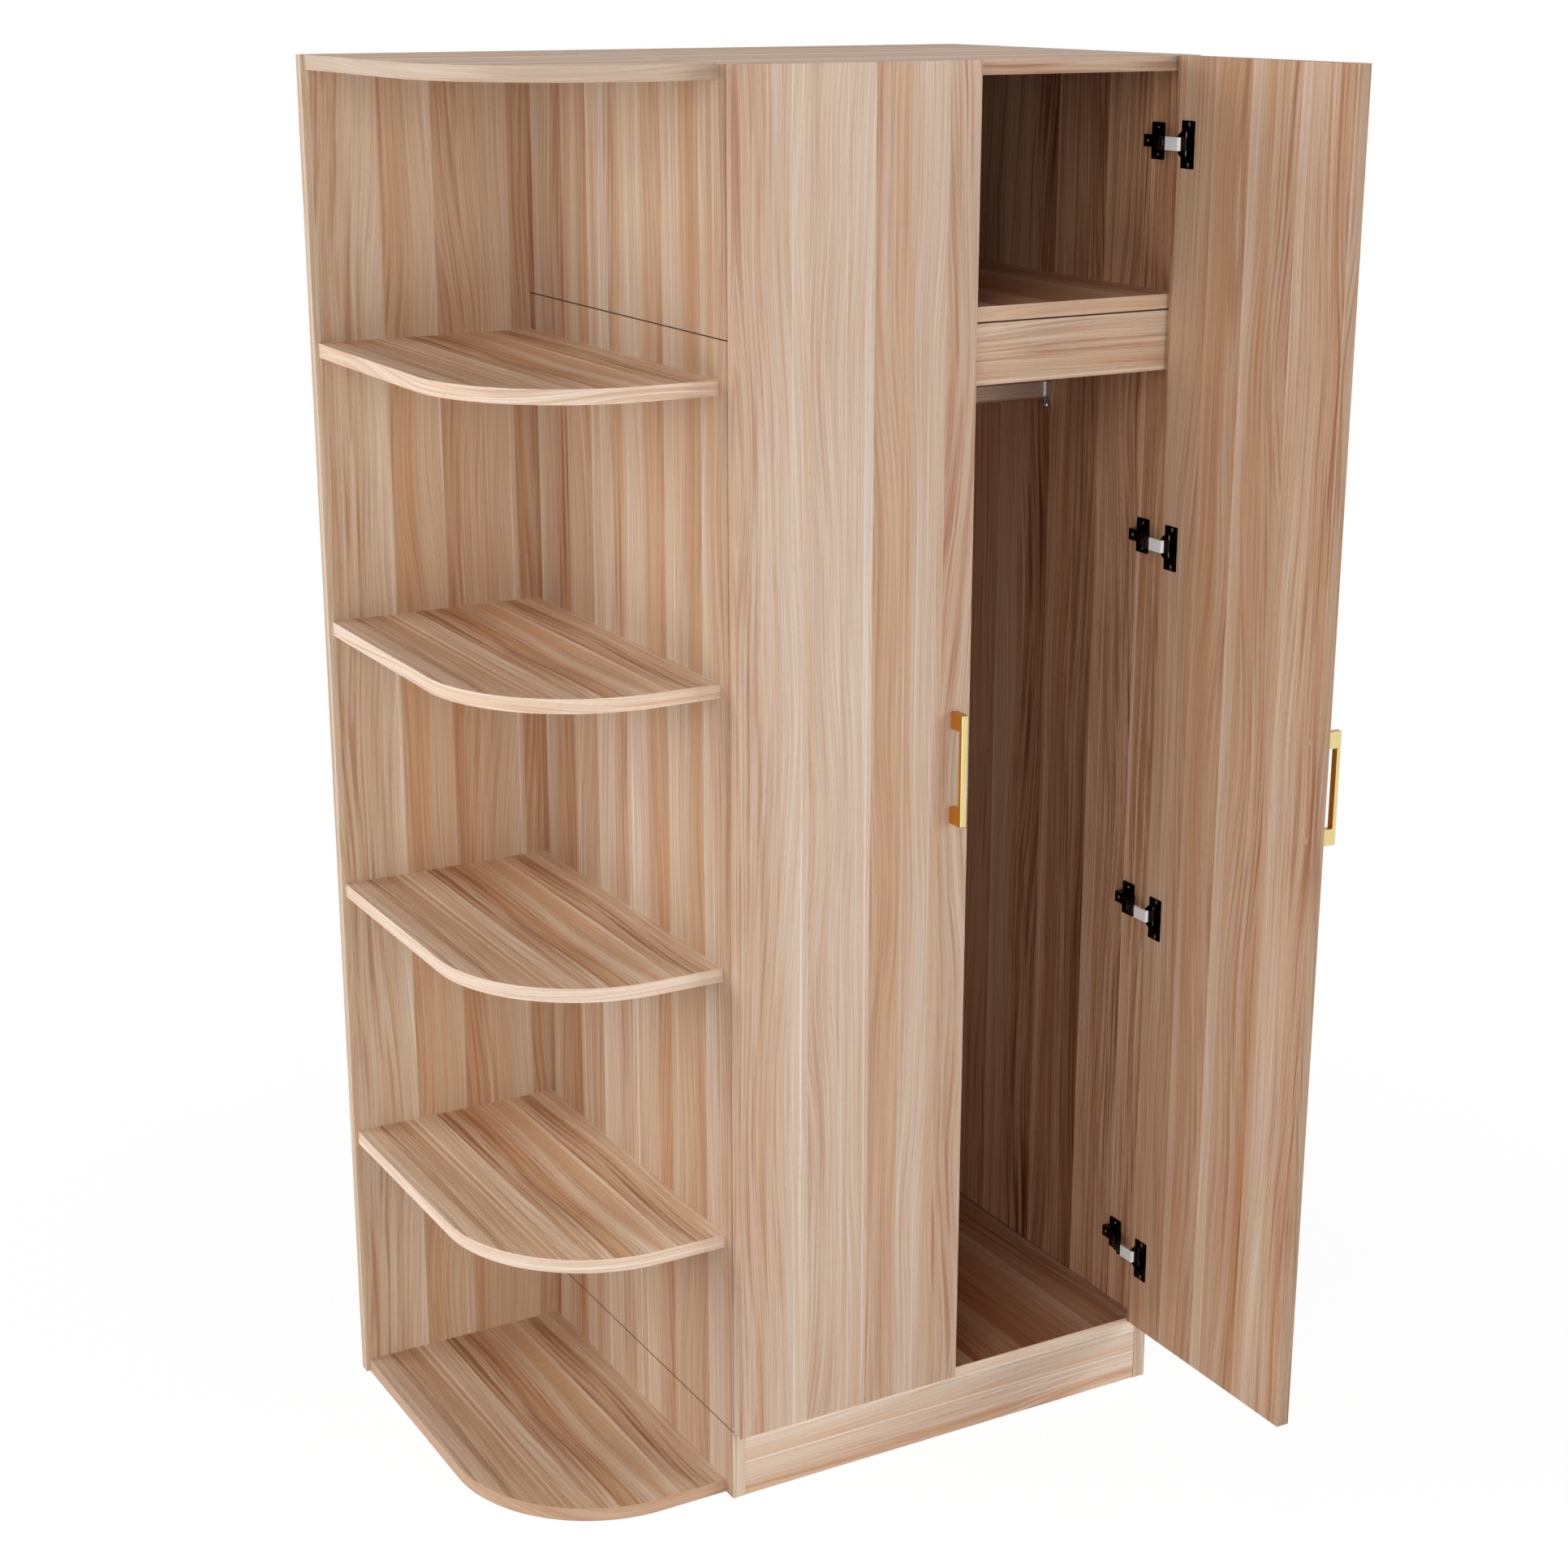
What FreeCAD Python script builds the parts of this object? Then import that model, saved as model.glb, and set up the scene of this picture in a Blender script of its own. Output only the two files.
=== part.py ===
import FreeCAD, Part

# Two-door wardrobe of laminated board with an open, round-cornered shelf unit on its left end.
# Millimetres, +Z up, +Y towards the wall. While the pieces are made, X = 0 is the outer face of the
# cabinet's left side, Y = 0 the front plane of the carcass and Z = 0 the floor. The finished pieces
# are moved so that the origin lies on the floor, under the middle of the whole part.
# The left door is shut and the right door stands open at a right angle.

import math
import os

from FreeCAD import Vector

# Cabinet boards
cabinet_height = 1800.0
cabinet_width = 657.0
carcass_depth = 560.0
board = 18.0
back_panel = 3.0
back_panel_inset = 1.0
base_height = 97.0
upper_box_height = 304.0
base_front_setback = 1.0
rail_board_height = 74.0
rail_board_gap = 2.0

# End-shelf unit
end_width = 297.0
end_back_board = 16.0
end_shelf_inset = 5.0
end_shelf_setback = 20.0
end_corner_radius = 200.0
end_bay_count = 5

# Doors
door_thickness = 18.0
door_gap = 2.0
door_side_reveal = 0.5
door_middle_gap = 3.0
door_rest_turn = 90.0

# Hinge places and pivots
hinge_count = 4
hinge_end_distance = 104.0
link_rest_turn = 34.0
cup_pivot_inset = 14.0
cup_pivot_depth = 6.0
arm_pivot_reach = 24.0
arm_pivot_setback = 14.0
pin_radius = 1.5
pin_clearance = 0.03
pin_sides = 6

# Hinge cup, its flange on the door's inner face and its pin
cup_radius = 17.5
cup_sides = 16
cup_edge_distance = 3.0
cup_depth = 12.5
cup_wall = 1.0
cup_bore_clearance = 0.1
flange_edge_distance = 13.0
flange_width = 25.0
flange_height = 57.0
flange_thickness = 1.2
flange_corner_cut = 0.8
cup_pin_clearance = 0.1

# Hinge link, a bent strip with an eye at each end
link_height = 16.0
link_thickness = 2.4
link_eye_radius = 3.0
link_crown_along = 6.5
link_crown_out = 9.3
link_shoulder_along = 18.5
link_shoulder_out = 5.5
link_side_clearance = 0.3
link_notch_radius = 5.0

# Hinge arm, from the mounting plate to the tongue that holds the link's pin
arm_height = 15.0
arm_rear_setback = 72.0
arm_body_front_setback = 40.0
arm_body_rise = 7.0
arm_neck_reach = 20.0
arm_neck_setback = 25.0
arm_neck_thickness = 6.0
tongue_height = 7.0
tongue_thickness = 4.5
tongue_eye_radius = 3.2

# Mounting plate, a cross laid on the side's inner face
plate_thickness = 2.5
plate_wing_setback = 41.0
plate_wing_width = 24.0
plate_wing_height = 45.0
plate_corner_cut = 0.8

# Screws of the hinges, the rail sockets and the end unit, with low six-sided heads on plain square shanks
screw_sides = 6
shank_sides = 4
screw_radius = 1.75
screw_length = 13.0
screw_head_radius = 3.4
screw_head_height = 1.6
screw_crown_radius = 2.2
screw_hole_clearance = 0.05
plate_screw_spacing = 32.0
cup_screw_spacing = 48.0
cup_screw_offset = 6.0
arm_screw_inset = 7.0

# Bow handles
left_handle_edge_distance = 18.0
right_handle_edge_distance = 9.0
handle_width = 9.0
handle_length = 144.0
handle_middle_height = 952.0
handle_projection = 26.0
handle_bar_thickness = 6.0
handle_post_height = 21.0
handle_edge_chamfer = 0.7

# Handle screws, sunk into the door's inner face under flush caps
handle_screw_radius = 2.0
handle_screw_reach = 12.0
handle_head_radius = 4.0
handle_head_sides = 12
handle_head_height = 2.2
cap_radius = 5.0
cap_thickness = 1.2
cap_clearance = 0.1

# Hanging rail, an oval tube with grooved flanks, and its sockets
hanger_height = 30.0
hanger_width = 15.0
hanger_end_corners = 6
hanger_wall = 1.4
hanger_drop = 136.0
hanger_groove_count = 3
hanger_groove_pitch = 4.2
hanger_groove_width = 1.4
hanger_groove_depth = 0.5
hanger_end_clearance = 0.3
socket_clearance = 0.2
socket_wall = 2.5
socket_depth = 10.0
socket_base_thickness = 2.0
socket_ear = 11.0
socket_screw_inset = 5.5

# Cam fittings that pull the level boards against the sides
cam_radius = 7.5
cam_depth = 12.5
cam_end_distance = 34.0
cam_clearance = 0.1
cam_front_distance = 70.0
cam_sides = 8
cam_bolt_radius = 3.0
cam_bolt_board_depth = 8.5

# Dowels of the rails, the plinth and the end-shelf boards
dowel_sides = 6
dowel_radius = 4.0
dowel_board_depth = 8.0
dowel_edge_depth = 20.0
dowel_clearance = 0.1
dowel_hole_overrun = 0.5
dowel_rail_inset = 16.0
dowel_shelf_inset = 90.0

# Screws through the end unit's back board into its shelves
back_screw_length = 45.0
back_screw_inset = 60.0

# Every cut runs past the surface by this much
overrun = 1.0

Z_AXIS = Vector(0, 0, 1)
X_AXIS = Vector(1, 0, 0)
Y_AXIS = Vector(0, 1, 0)

# Levels and faces that several pieces share
side_depth = carcass_depth - back_panel
upper_seam = cabinet_height - upper_box_height
left_face = board
right_face = cabinet_width - board
door_width = (cabinet_width - 2 * door_side_reveal - door_middle_gap) / 2
door_bottom = base_height
door_height = cabinet_height - door_bottom
door_inner = -door_gap
door_outer = door_inner - door_thickness
door_edge = cabinet_width - door_side_reveal
door_free_edge = door_edge - door_width
flange_face = door_inner + flange_thickness

hinge_first = door_bottom + hinge_end_distance
hinge_step = (door_height - 2 * hinge_end_distance) / (hinge_count - 1)
hinge_levels = [hinge_first + index * hinge_step for index in range(hinge_count)]

cup_middle = Vector(door_edge - cup_edge_distance - cup_radius, door_inner, 0)
cup_pivot = Vector(door_edge - cup_pivot_inset, door_inner - cup_pivot_depth, 0)
arm_pivot = Vector(right_face - arm_pivot_reach, arm_pivot_setback, 0)
cup_screw_x = cup_middle.x - cup_screw_offset
plate_screw_y = plate_wing_setback + plate_wing_width / 2
plate_face = right_face - plate_thickness
arm_face = plate_face - arm_body_rise
arm_screw_y = arm_rear_setback - arm_screw_inset

end_depth_front = end_shelf_setback
end_back_face = carcass_depth - end_back_board
end_shelf_left = end_shelf_inset - end_width
end_pitch = cabinet_height / end_bay_count
hanger_y = side_depth / 2
hanger_middle_height = upper_seam - hanger_drop


def box(x_low, x_high, y_low, y_high, z_low, z_high):
    """A board between six planes."""
    corner = Vector(x_low, y_low, z_low)
    return Part.makeBox(x_high - x_low, y_high - y_low, z_high - z_low, corner)


def regular_outline(radius, sides, centre, along):
    """A regular outline square to a direction, with its corners on the radius."""
    spare = X_AXIS if abs(along.dot(Z_AXIS)) > abs(along.dot(X_AXIS)) else Z_AXIS
    first = along.cross(spare).normalize() * radius
    turn = FreeCAD.Rotation(along, 360 / sides)
    corners = [first]
    for index in range(sides - 1):
        corners.append(turn.multVec(corners[-1]))
    points = [centre.add(corner) for corner in corners]
    return Part.makePolygon(points + points[:1])


def bar(radius, sides, start, end):
    """A many-sided bar from one point to another, with its corners on the radius."""
    line = end.sub(start)
    return Part.Face(regular_outline(radius, sides, start, line)).extrude(line)


def bore(radius, sides, start, end):
    """A many-sided hole from one point to another, with its flats on the radius."""
    return bar(radius / math.cos(math.pi / sides), sides, start, end)


def on_axis(centre, height):
    """The two ends of an upright line through a centre, with its middle at Z = 0."""
    return Vector(centre.x, centre.y, -height / 2), Vector(centre.x, centre.y, height / 2)


def pin(centre, height):
    """An upright hinge pin."""
    return bar(pin_radius, pin_sides, *on_axis(centre, height))


def pin_hole(centre, height):
    """The running hole of an upright hinge pin."""
    return bore(pin_radius + pin_clearance, pin_sides, *on_axis(centre, height))


def knuckle(radius, centre, height):
    """An upright many-sided barrel, as at a bend or an eye."""
    return bar(radius, pin_sides, *on_axis(centre, height))


def fused(shapes):
    """The union of several shapes as one solid."""
    return shapes[0].fuse(shapes[1:]).removeSplitter().Solids[0]


def without(shape, cutters):
    """A shape less its holes."""
    return shape.cut(cutters).Solids[0]


def strip(start, end, thickness, height):
    """A flat bar on edge between two upright lines, its middle at Z = 0."""
    along = end.sub(start)
    across = Z_AXIS.cross(along).normalize() * (thickness / 2)
    points = [start.add(across), start.sub(across), end.sub(across), end.add(across)]
    outline = Part.makePolygon(points + points[:1])
    bar = Part.Face(outline).extrude(Vector(0, 0, height))
    bar.translate(Vector(0, 0, -height / 2))
    return bar


def mitred_strip(points, thickness, height):
    """A bent flat bar on edge along a line of points, with mitred bends, its middle at Z = 0."""
    ways = [end.sub(start).normalize() for start, end in zip(points, points[1:])]
    near, far = [], []
    for point, before, after in zip(points, ways[:1] + ways, ways + ways[-1:]):
        across = Z_AXIS.cross(before.add(after)).normalize()
        offset = across * (thickness / 2 / across.dot(Z_AXIS.cross(after)))
        near.append(point.add(offset))
        far.insert(0, point.sub(offset))
    solid = Part.Face(Part.makePolygon(near + far + near[:1])).extrude(Vector(0, 0, height))
    solid.translate(Vector(0, 0, -height / 2))
    return solid


def cornered_plate(width, height, thickness, corner_cut):
    """A plate in the XZ plane about the origin with its corners cut off, its back on Y = 0."""
    plate = Part.makeBox(width, thickness, height, Vector(-width / 2, 0, -height / 2))
    corners = [edge for edge in plate.Edges if is_along(edge, Y_AXIS)]
    return plate.makeChamfer(corner_cut, corners)


def is_along(edge, axis):
    """Whether a straight edge runs along an axis."""
    return abs(edge.tangentAt(edge.FirstParameter).dot(axis)) > math.cos(math.radians(1))


def screw(seat, into, shank_length):
    """A low-headed screw: its head stands on the seat and its shank runs into the work."""
    top = seat.sub(into * screw_head_height)
    outlines = [regular_outline(screw_head_radius, screw_sides, seat, into),
                regular_outline(screw_crown_radius, screw_sides, top, into)]
    head = Part.makeLoft(outlines, True, True)
    shank = bar(screw_radius, shank_sides, seat, seat.add(into * shank_length))
    return fused([head, shank])


def screw_hole(seat, into, length):
    """The hole that a screw's shank goes into, open at the seat."""
    end = seat.add(into * (length + screw_hole_clearance))
    return bore(screw_radius + screw_hole_clearance, shank_sides, seat.sub(into * overrun), end)


def oval(width, height):
    """A many-sided oval outline in the YZ plane about the origin, longer along Z, its flats on the oval."""
    step = math.pi / hanger_end_corners
    radius = width / 2 / math.cos(step / 2)
    shift = height / 2 - width / 2
    points = []
    for way in (1, -1):
        for index in range(hanger_end_corners):
            angle = (index + 1 / 2) * step
            points.append(Vector(0, way * radius * math.cos(angle), way * (shift + radius * math.sin(angle))))
    return Part.makePolygon(points + points[:1])


def oval_bar(width, height, x_low, x_high):
    """An oval bar along X on the hanging rail's centre line."""
    bar = Part.Face(oval(width, height)).extrude(Vector(x_high - x_low, 0, 0))
    bar.translate(Vector(x_low, hanger_y, hanger_middle_height))
    return bar


def mirrored(shape):
    """A right-hand piece turned into its left-hand twin."""
    return shape.mirror(Vector(cabinet_width / 2, 0, 0), X_AXIS)


def raised(shape, level):
    """A copy of a shape lifted to a level."""
    lifted = shape.copy()
    lifted.translate(Vector(0, 0, level))
    return lifted


def at_hinges(shape):
    """One copy of a hinge piece at each hinge of a door."""
    return [raised(shape, level) for level in hinge_levels]


# Carcass fittings: where each level board, rail and shelf is pinned to an upright board

def cam_depths():
    """How far back from the front the two cam fittings of a board's end lie."""
    return [cam_front_distance, side_depth - cam_front_distance]


def cam_boards():
    """The underside level of each board that cam fittings hold."""
    return {
        "floor_board": base_height - board,
        "hat_shelf": upper_seam,
        "top_board": cabinet_height - board,
    }


def cam_places(underside):
    """The points under one board where its cam discs are let in, with the way to the nearest side."""
    places = []
    for depth in cam_depths():
        places.append((Vector(left_face + cam_end_distance, depth, underside), -1))
        places.append((Vector(right_face - cam_end_distance, depth, underside), 1))
    return places


def cam_line(place, depth):
    """The axis of a cam disc let into a board from below."""
    return place, place.add(Vector(0, 0, depth))


def cam_bolt_line(place, way, inner_reach, extra):
    """The axis of a cam bolt, from within some reach of the cam's middle into the side board."""
    side = left_face if way < 0 else right_face
    level = place.z + board / 2
    inner = Vector(place.x + way * inner_reach, place.y, level)
    return inner, Vector(side + way * (cam_bolt_board_depth + extra), place.y, level)


def all_cams():
    """Every cam fitting as a place under its board and the way to its side."""
    return [cam for underside in cam_boards().values() for cam in cam_places(underside)]


def cam_disc_holes():
    """The sinkings for all cam discs."""
    return [bore(cam_radius + cam_clearance, cam_sides, *cam_line(place, cam_depth + cam_clearance))
            for place, way in all_cams()]


def cam_bolt_holes():
    """The bores for all cam bolts, in the boards' ends and in the sides."""
    return [bore(cam_bolt_radius + cam_clearance, screw_sides, *cam_bolt_line(place, way, 0, cam_clearance))
            for place, way in all_cams()]


def dowel_seams():
    """The seam point of every dowel, on the face of an upright board, and the way into the level piece."""
    lines = []
    rail_low = rail_board_level() + dowel_rail_inset
    rail_high = rail_board_level() + rail_board_height - dowel_rail_inset
    plinth_low = dowel_rail_inset
    plinth_high = base_height - board - dowel_rail_inset
    for level in (rail_low, rail_high):
        for depth in (board / 2, side_depth - board / 2):
            lines.append((Vector(left_face, depth, level), 1))
            lines.append((Vector(right_face, depth, level), -1))
    for level in (plinth_low, plinth_high):
        for depth in (base_front_setback + board / 2, carcass_depth - board / 2):
            lines.append((Vector(left_face, depth, level), 1))
            lines.append((Vector(right_face, depth, level), -1))
    for level in end_board_levels():
        for depth in (end_depth_front + dowel_shelf_inset, end_back_face - dowel_shelf_inset):
            lines.append((Vector(0, depth, level + board / 2), -1))
    return lines


def dowel_line(seam, way, extra):
    """The axis of a dowel across a seam, longer in the level piece than in the upright one."""
    start = Vector(seam.x - way * (dowel_board_depth + extra), seam.y, seam.z)
    return start, Vector(seam.x + way * (dowel_edge_depth + extra), seam.y, seam.z)


def dowel_holes():
    """The blind holes of all dowels."""
    return [bore(dowel_radius + dowel_clearance, dowel_sides, *dowel_line(seam, way, dowel_hole_overrun))
            for seam, way in dowel_seams()]


def touching(shape, cutters):
    """The cutters that reach into a shape's box."""
    return [cutter for cutter in cutters if cutter.BoundBox.intersect(shape.BoundBox)]


def drilled(shape, cutters):
    """A board with those of the given holes that fall in it."""
    falling = touching(shape, cutters)
    return without(shape, falling) if falling else shape


# Cabinet boards

def rail_board_level():
    """The underside of the front and rear rails."""
    return upper_seam - rail_board_gap - rail_board_height


def plate_screw_holes():
    """Pilot holes for the mounting plates in both sides."""
    holes = []
    for seat in plate_screw_seats():
        hole = screw_hole(seat, X_AXIS, screw_length)
        holes += at_hinges(hole) + at_hinges(mirrored(hole))
    return holes


def side_boards():
    """The upright sides of the base, the tall lower box and the upper box."""
    spans = {
        "plinth": (0, base_height, carcass_depth),
        "lower": (base_height, upper_seam, side_depth),
        "upper": (upper_seam, cabinet_height, side_depth),
    }
    holes = cam_bolt_holes() + dowel_holes() + plate_screw_holes() + socket_screw_holes()
    pieces = {}
    for name, (low, high, depth) in spans.items():
        left = box(0, left_face, 0, depth, low, high)
        right = box(right_face, cabinet_width, 0, depth, low, high)
        pieces[name + "_left_side"] = drilled(left, holes)
        pieces[name + "_right_side"] = drilled(right, holes)
    return pieces


def level_boards():
    """The floor, the hat shelf and the top, held between the sides."""
    fronts = {"floor_board": base_front_setback, "hat_shelf": 0, "top_board": 0}
    backs = {"floor_board": carcass_depth, "hat_shelf": side_depth, "top_board": side_depth}
    holes = cam_disc_holes() + cam_bolt_holes()
    pieces = {}
    for name, underside in cam_boards().items():
        plain = box(left_face, right_face, fronts[name], backs[name], underside, underside + board)
        pieces[name] = drilled(plain, holes)
    return pieces


def cross_boards():
    """The rails under the upper box and the plinth boards under the floor."""
    rail_low = rail_board_level()
    rail_high = rail_low + rail_board_height
    plinth_high = base_height - board
    rail_back = side_depth - board
    plinth_back = carcass_depth - board
    spans = {
        "front_rail": (0, rail_low, rail_high),
        "rear_rail": (rail_back, rail_low, rail_high),
        "plinth_front": (base_front_setback, 0, plinth_high),
        "plinth_back": (plinth_back, 0, plinth_high),
    }
    holes = dowel_holes()
    pieces = {}
    for name, (front, low, high) in spans.items():
        pieces[name] = drilled(box(left_face, right_face, front, front + board, low, high), holes)
    return pieces


def back_panels():
    """The thin panels nailed on behind the two boxes."""
    spans = {"lower_back_panel": (base_height, upper_seam), "upper_back_panel": (upper_seam, cabinet_height)}
    pieces = {}
    for name, (low, high) in spans.items():
        pieces[name] = box(back_panel_inset, cabinet_width - back_panel_inset, side_depth, carcass_depth,
                           low + back_panel_inset, high - back_panel_inset)
    return pieces


# End-shelf unit

def end_board_levels():
    """The undersides of the end unit's boards: one on the floor, one at the top, the rest evenly between."""
    middles = [index * end_pitch - board / 2 for index in range(1, end_bay_count)]
    return [0] + middles + [cabinet_height - board]


def end_board_names():
    """The end unit's boards from the floor up."""
    shelves = ["end_shelf_%d" % index for index in range(1, end_bay_count)]
    return ["end_bottom_board"] + shelves + ["end_top_board"]


def end_board(level):
    """A shelf board whose free front corner is a quarter circle."""
    bulge = end_corner_radius * (1 - math.cos(math.radians(45)))
    front, left = end_depth_front, end_shelf_left
    arc = Part.Arc(Vector(left, front + end_corner_radius, level), Vector(left + bulge, front + bulge, level),
                   Vector(left + end_corner_radius, front, level))
    edges = [
        arc.toShape(),
        Part.makeLine(Vector(left + end_corner_radius, front, level), Vector(0, front, level)),
        Part.makeLine(Vector(0, front, level), Vector(0, end_back_face, level)),
        Part.makeLine(Vector(0, end_back_face, level), Vector(left, end_back_face, level)),
        Part.makeLine(Vector(left, end_back_face, level), Vector(left, front + end_corner_radius, level)),
    ]
    return Part.Face(Part.Wire(edges)).extrude(Vector(0, 0, board))


def end_back_seats():
    """The points on the back board's rear face where the shelf screws stand."""
    seats = []
    for level in end_board_levels():
        for x in (end_shelf_left + back_screw_inset, -back_screw_inset):
            seats.append(Vector(x, carcass_depth, level + board / 2))
    return seats


def countersunk(seat, spare):
    """A countersunk screw, or with some spare its hole, from a face inwards along -Y."""
    into = Y_AXIS.negative()
    neck = seat.add(into * screw_head_height)
    head = Part.makeLoft([regular_outline(screw_head_radius + spare, screw_sides, seat, into),
                          regular_outline(screw_radius + spare, screw_sides, neck, into)], True, True)
    shank = bar(screw_radius + spare, screw_sides, neck, neck.add(into * (back_screw_length + spare)))
    return fused([head, shank])


def end_back_screws():
    """The screws through the back board, sunk level with its rear face."""
    return [countersunk(seat, 0) for seat in end_back_seats()]


def end_back_holes():
    """The sunk holes of the shelf screws in the back board and the shelves' rear edges."""
    return [countersunk(seat, screw_hole_clearance) for seat in end_back_seats()]


def end_unit():
    """The back board and the six round-cornered boards of the open end."""
    holes = end_back_holes() + dowel_holes()
    back = box(-end_width, 0, end_back_face, carcass_depth, 0, cabinet_height)
    pieces = {"end_back_board": drilled(back, holes)}
    for name, level in zip(end_board_names(), end_board_levels()):
        pieces[name] = drilled(end_board(level), holes)
    return pieces


# Hanging rail

def hanger():
    """The oval tube with grooves along both flanks."""
    start = left_face + socket_base_thickness + hanger_end_clearance
    end = right_face - socket_base_thickness - hanger_end_clearance
    tube = oval_bar(hanger_width, hanger_height, start, end)
    walls = 2 * hanger_wall
    cutters = [oval_bar(hanger_width - walls, hanger_height - walls, start - overrun, end + overrun)]
    half = (hanger_groove_count - 1) / 2
    for index in range(hanger_groove_count):
        level = hanger_middle_height + (index - half) * hanger_groove_pitch
        low, high = level - hanger_groove_width / 2, level + hanger_groove_width / 2
        for way in (-1, 1):
            flank = hanger_y + way * hanger_width / 2
            near, far = sorted((flank - way * hanger_groove_depth, flank + way * overrun))
            cutters.append(box(start - overrun, end + overrun, near, far, low, high))
    return without(tube, cutters)


def socket_screw_seats():
    """Where the right-hand socket's two screws stand on its base."""
    reach = hanger_height / 2 + socket_wall + socket_clearance + socket_ear - socket_screw_inset
    x = right_face - socket_base_thickness
    return [Vector(x, hanger_y, hanger_middle_height + way * reach) for way in (-1, 1)]


def socket_screw_holes():
    """Pilot holes for the sockets' screws in both sides."""
    holes = []
    for seat in socket_screw_seats():
        hole = screw_hole(seat, X_AXIS, screw_length)
        holes += [hole, mirrored(hole)]
    return holes


def socket():
    """The right-hand rail socket: an oval collar on an eared base."""
    inner = 2 * socket_clearance
    outer = inner + 2 * socket_wall
    base_x = right_face - socket_base_thickness
    base = oval_bar(hanger_width + outer, hanger_height + outer + 2 * socket_ear, base_x, right_face)
    collar = oval_bar(hanger_width + outer, hanger_height + outer, right_face - socket_depth, right_face)
    mouth = oval_bar(hanger_width + inner, hanger_height + inner, right_face - socket_depth - overrun, base_x)
    holes = [screw_hole(seat, X_AXIS, screw_length) for seat in socket_screw_seats()]
    return without(fused([base, collar]), [mouth] + holes)


def hanging_rail_pieces():
    """The rail, its two sockets and their screws."""
    screws = [screw(seat, X_AXIS, screw_length) for seat in socket_screw_seats()]
    return {
        "hanging_rail": hanger(),
        "rail_socket_right": socket(),
        "rail_socket_left": mirrored(socket()),
        "rail_socket_screws": Part.makeCompound(screws + [mirrored(piece) for piece in screws]),
    }


# Hinge pieces, made right-handed for a shut door, about Z = 0

def plate_screw_seats():
    """The points on the mounting plate where its two screws stand."""
    half = plate_screw_spacing / 2
    return [Vector(plate_face, plate_screw_y, way * half) for way in (-1, 1)]


def arm_screw_seat():
    """The point on the arm where the screw into the plate stands."""
    return Vector(arm_face, arm_screw_y, 0)


def arm_screw_length():
    """The arm's screw ends in the plate, just clear of the board."""
    return arm_body_rise + plate_thickness - screw_hole_clearance


def hinge_plate():
    """The cross-shaped plate on the cabinet side."""
    wing = cornered_plate(plate_wing_width, plate_wing_height, plate_thickness, plate_corner_cut)
    wing.rotate(Vector(0, 0, 0), Z_AXIS, 90)
    wing.translate(Vector(right_face, plate_screw_y, 0))
    half = arm_height / 2
    foot = box(plate_face, right_face, arm_body_front_setback, arm_rear_setback, -half, half)
    holes = [screw_hole(seat, X_AXIS, screw_length) for seat in plate_screw_seats()]
    holes.append(screw_hole(arm_screw_seat(), X_AXIS, arm_screw_length() + overrun))
    return without(fused([wing, foot]), holes)


def hinge_arm():
    """The arm: a block on the plate, a neck that rises from it and a tongue round the link's pin."""
    half = arm_height / 2
    neck = Vector(right_face - arm_neck_reach, arm_neck_setback, 0)
    root = Vector(arm_face + arm_neck_thickness / 2, arm_body_front_setback + arm_neck_thickness, 0)
    block = box(arm_face, plate_face, arm_body_front_setback, arm_rear_setback, -half, half)
    bend = knuckle(arm_neck_thickness / 2, neck, arm_height)
    rise = strip(root, neck, arm_neck_thickness, arm_height)
    tongue = strip(neck, arm_pivot, tongue_thickness, tongue_height)
    eye = knuckle(tongue_eye_radius, arm_pivot, tongue_height)
    hole = screw_hole(arm_screw_seat(), X_AXIS, arm_screw_length() + overrun)
    return without(fused([block, bend, rise, tongue, eye]), [pin_hole(arm_pivot, arm_height), hole])


def link_points():
    """The link's middle line: cup pin, crown, shoulder, arm pin."""
    along = arm_pivot.sub(cup_pivot).normalize()
    out = Z_AXIS.cross(along)
    crown = cup_pivot.add(along * link_crown_along).add(out * link_crown_out)
    shoulder = cup_pivot.add(along * link_shoulder_along).add(out * link_shoulder_out)
    return [cup_pivot, crown, shoulder, arm_pivot]


def hinge_link():
    """The bent link: three runs, an eye in the cup and a split eye round the tongue."""
    runs = mitred_strip(link_points(), link_thickness, link_height)
    eyes = [knuckle(link_eye_radius, point, link_height) for point in (cup_pivot, arm_pivot)]
    holes = [pin_hole(point, link_height + overrun) for point in (cup_pivot, arm_pivot)]
    notch = knuckle(link_notch_radius, arm_pivot, tongue_height + 2 * link_side_clearance)
    return without(fused([runs] + eyes), holes + [notch])


def cup_screw_seats():
    """The points on the flange where the cup's two screws stand."""
    half = cup_screw_spacing / 2
    return [Vector(cup_screw_x, flange_face, way * half) for way in (-1, 1)]


def cup_line(low, high):
    """The cup's axis between two depths from the door's inner face."""
    return Vector(cup_middle.x, door_inner + low, 0), Vector(cup_middle.x, door_inner + high, 0)


def hinge_cup():
    """The bowl let into the door and its screwed flange, open to the link."""
    flange = cornered_plate(flange_width, flange_height, flange_thickness, flange_corner_cut)
    flange.translate(Vector(door_edge - flange_edge_distance - flange_width / 2, door_inner, 0))
    bowl = bar(cup_radius, cup_sides, *cup_line(-cup_depth, flange_thickness))
    hollow = bore(cup_radius - cup_wall, cup_sides,
                  *cup_line(cup_wall - cup_depth, flange_thickness + overrun))
    holes = [screw_hole(seat, Y_AXIS.negative(), screw_length) for seat in cup_screw_seats()]
    return without(fused([flange, bowl]), [hollow] + holes)


def cup_pin_length():
    """The pin spans the bowl where it crosses it, just clear of the wall on the pin's far side."""
    far = abs(cup_pivot.x - cup_middle.x) + pin_radius
    return 2 * (math.sqrt((cup_radius - cup_wall) ** 2 - far ** 2) - cup_pin_clearance)


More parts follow.
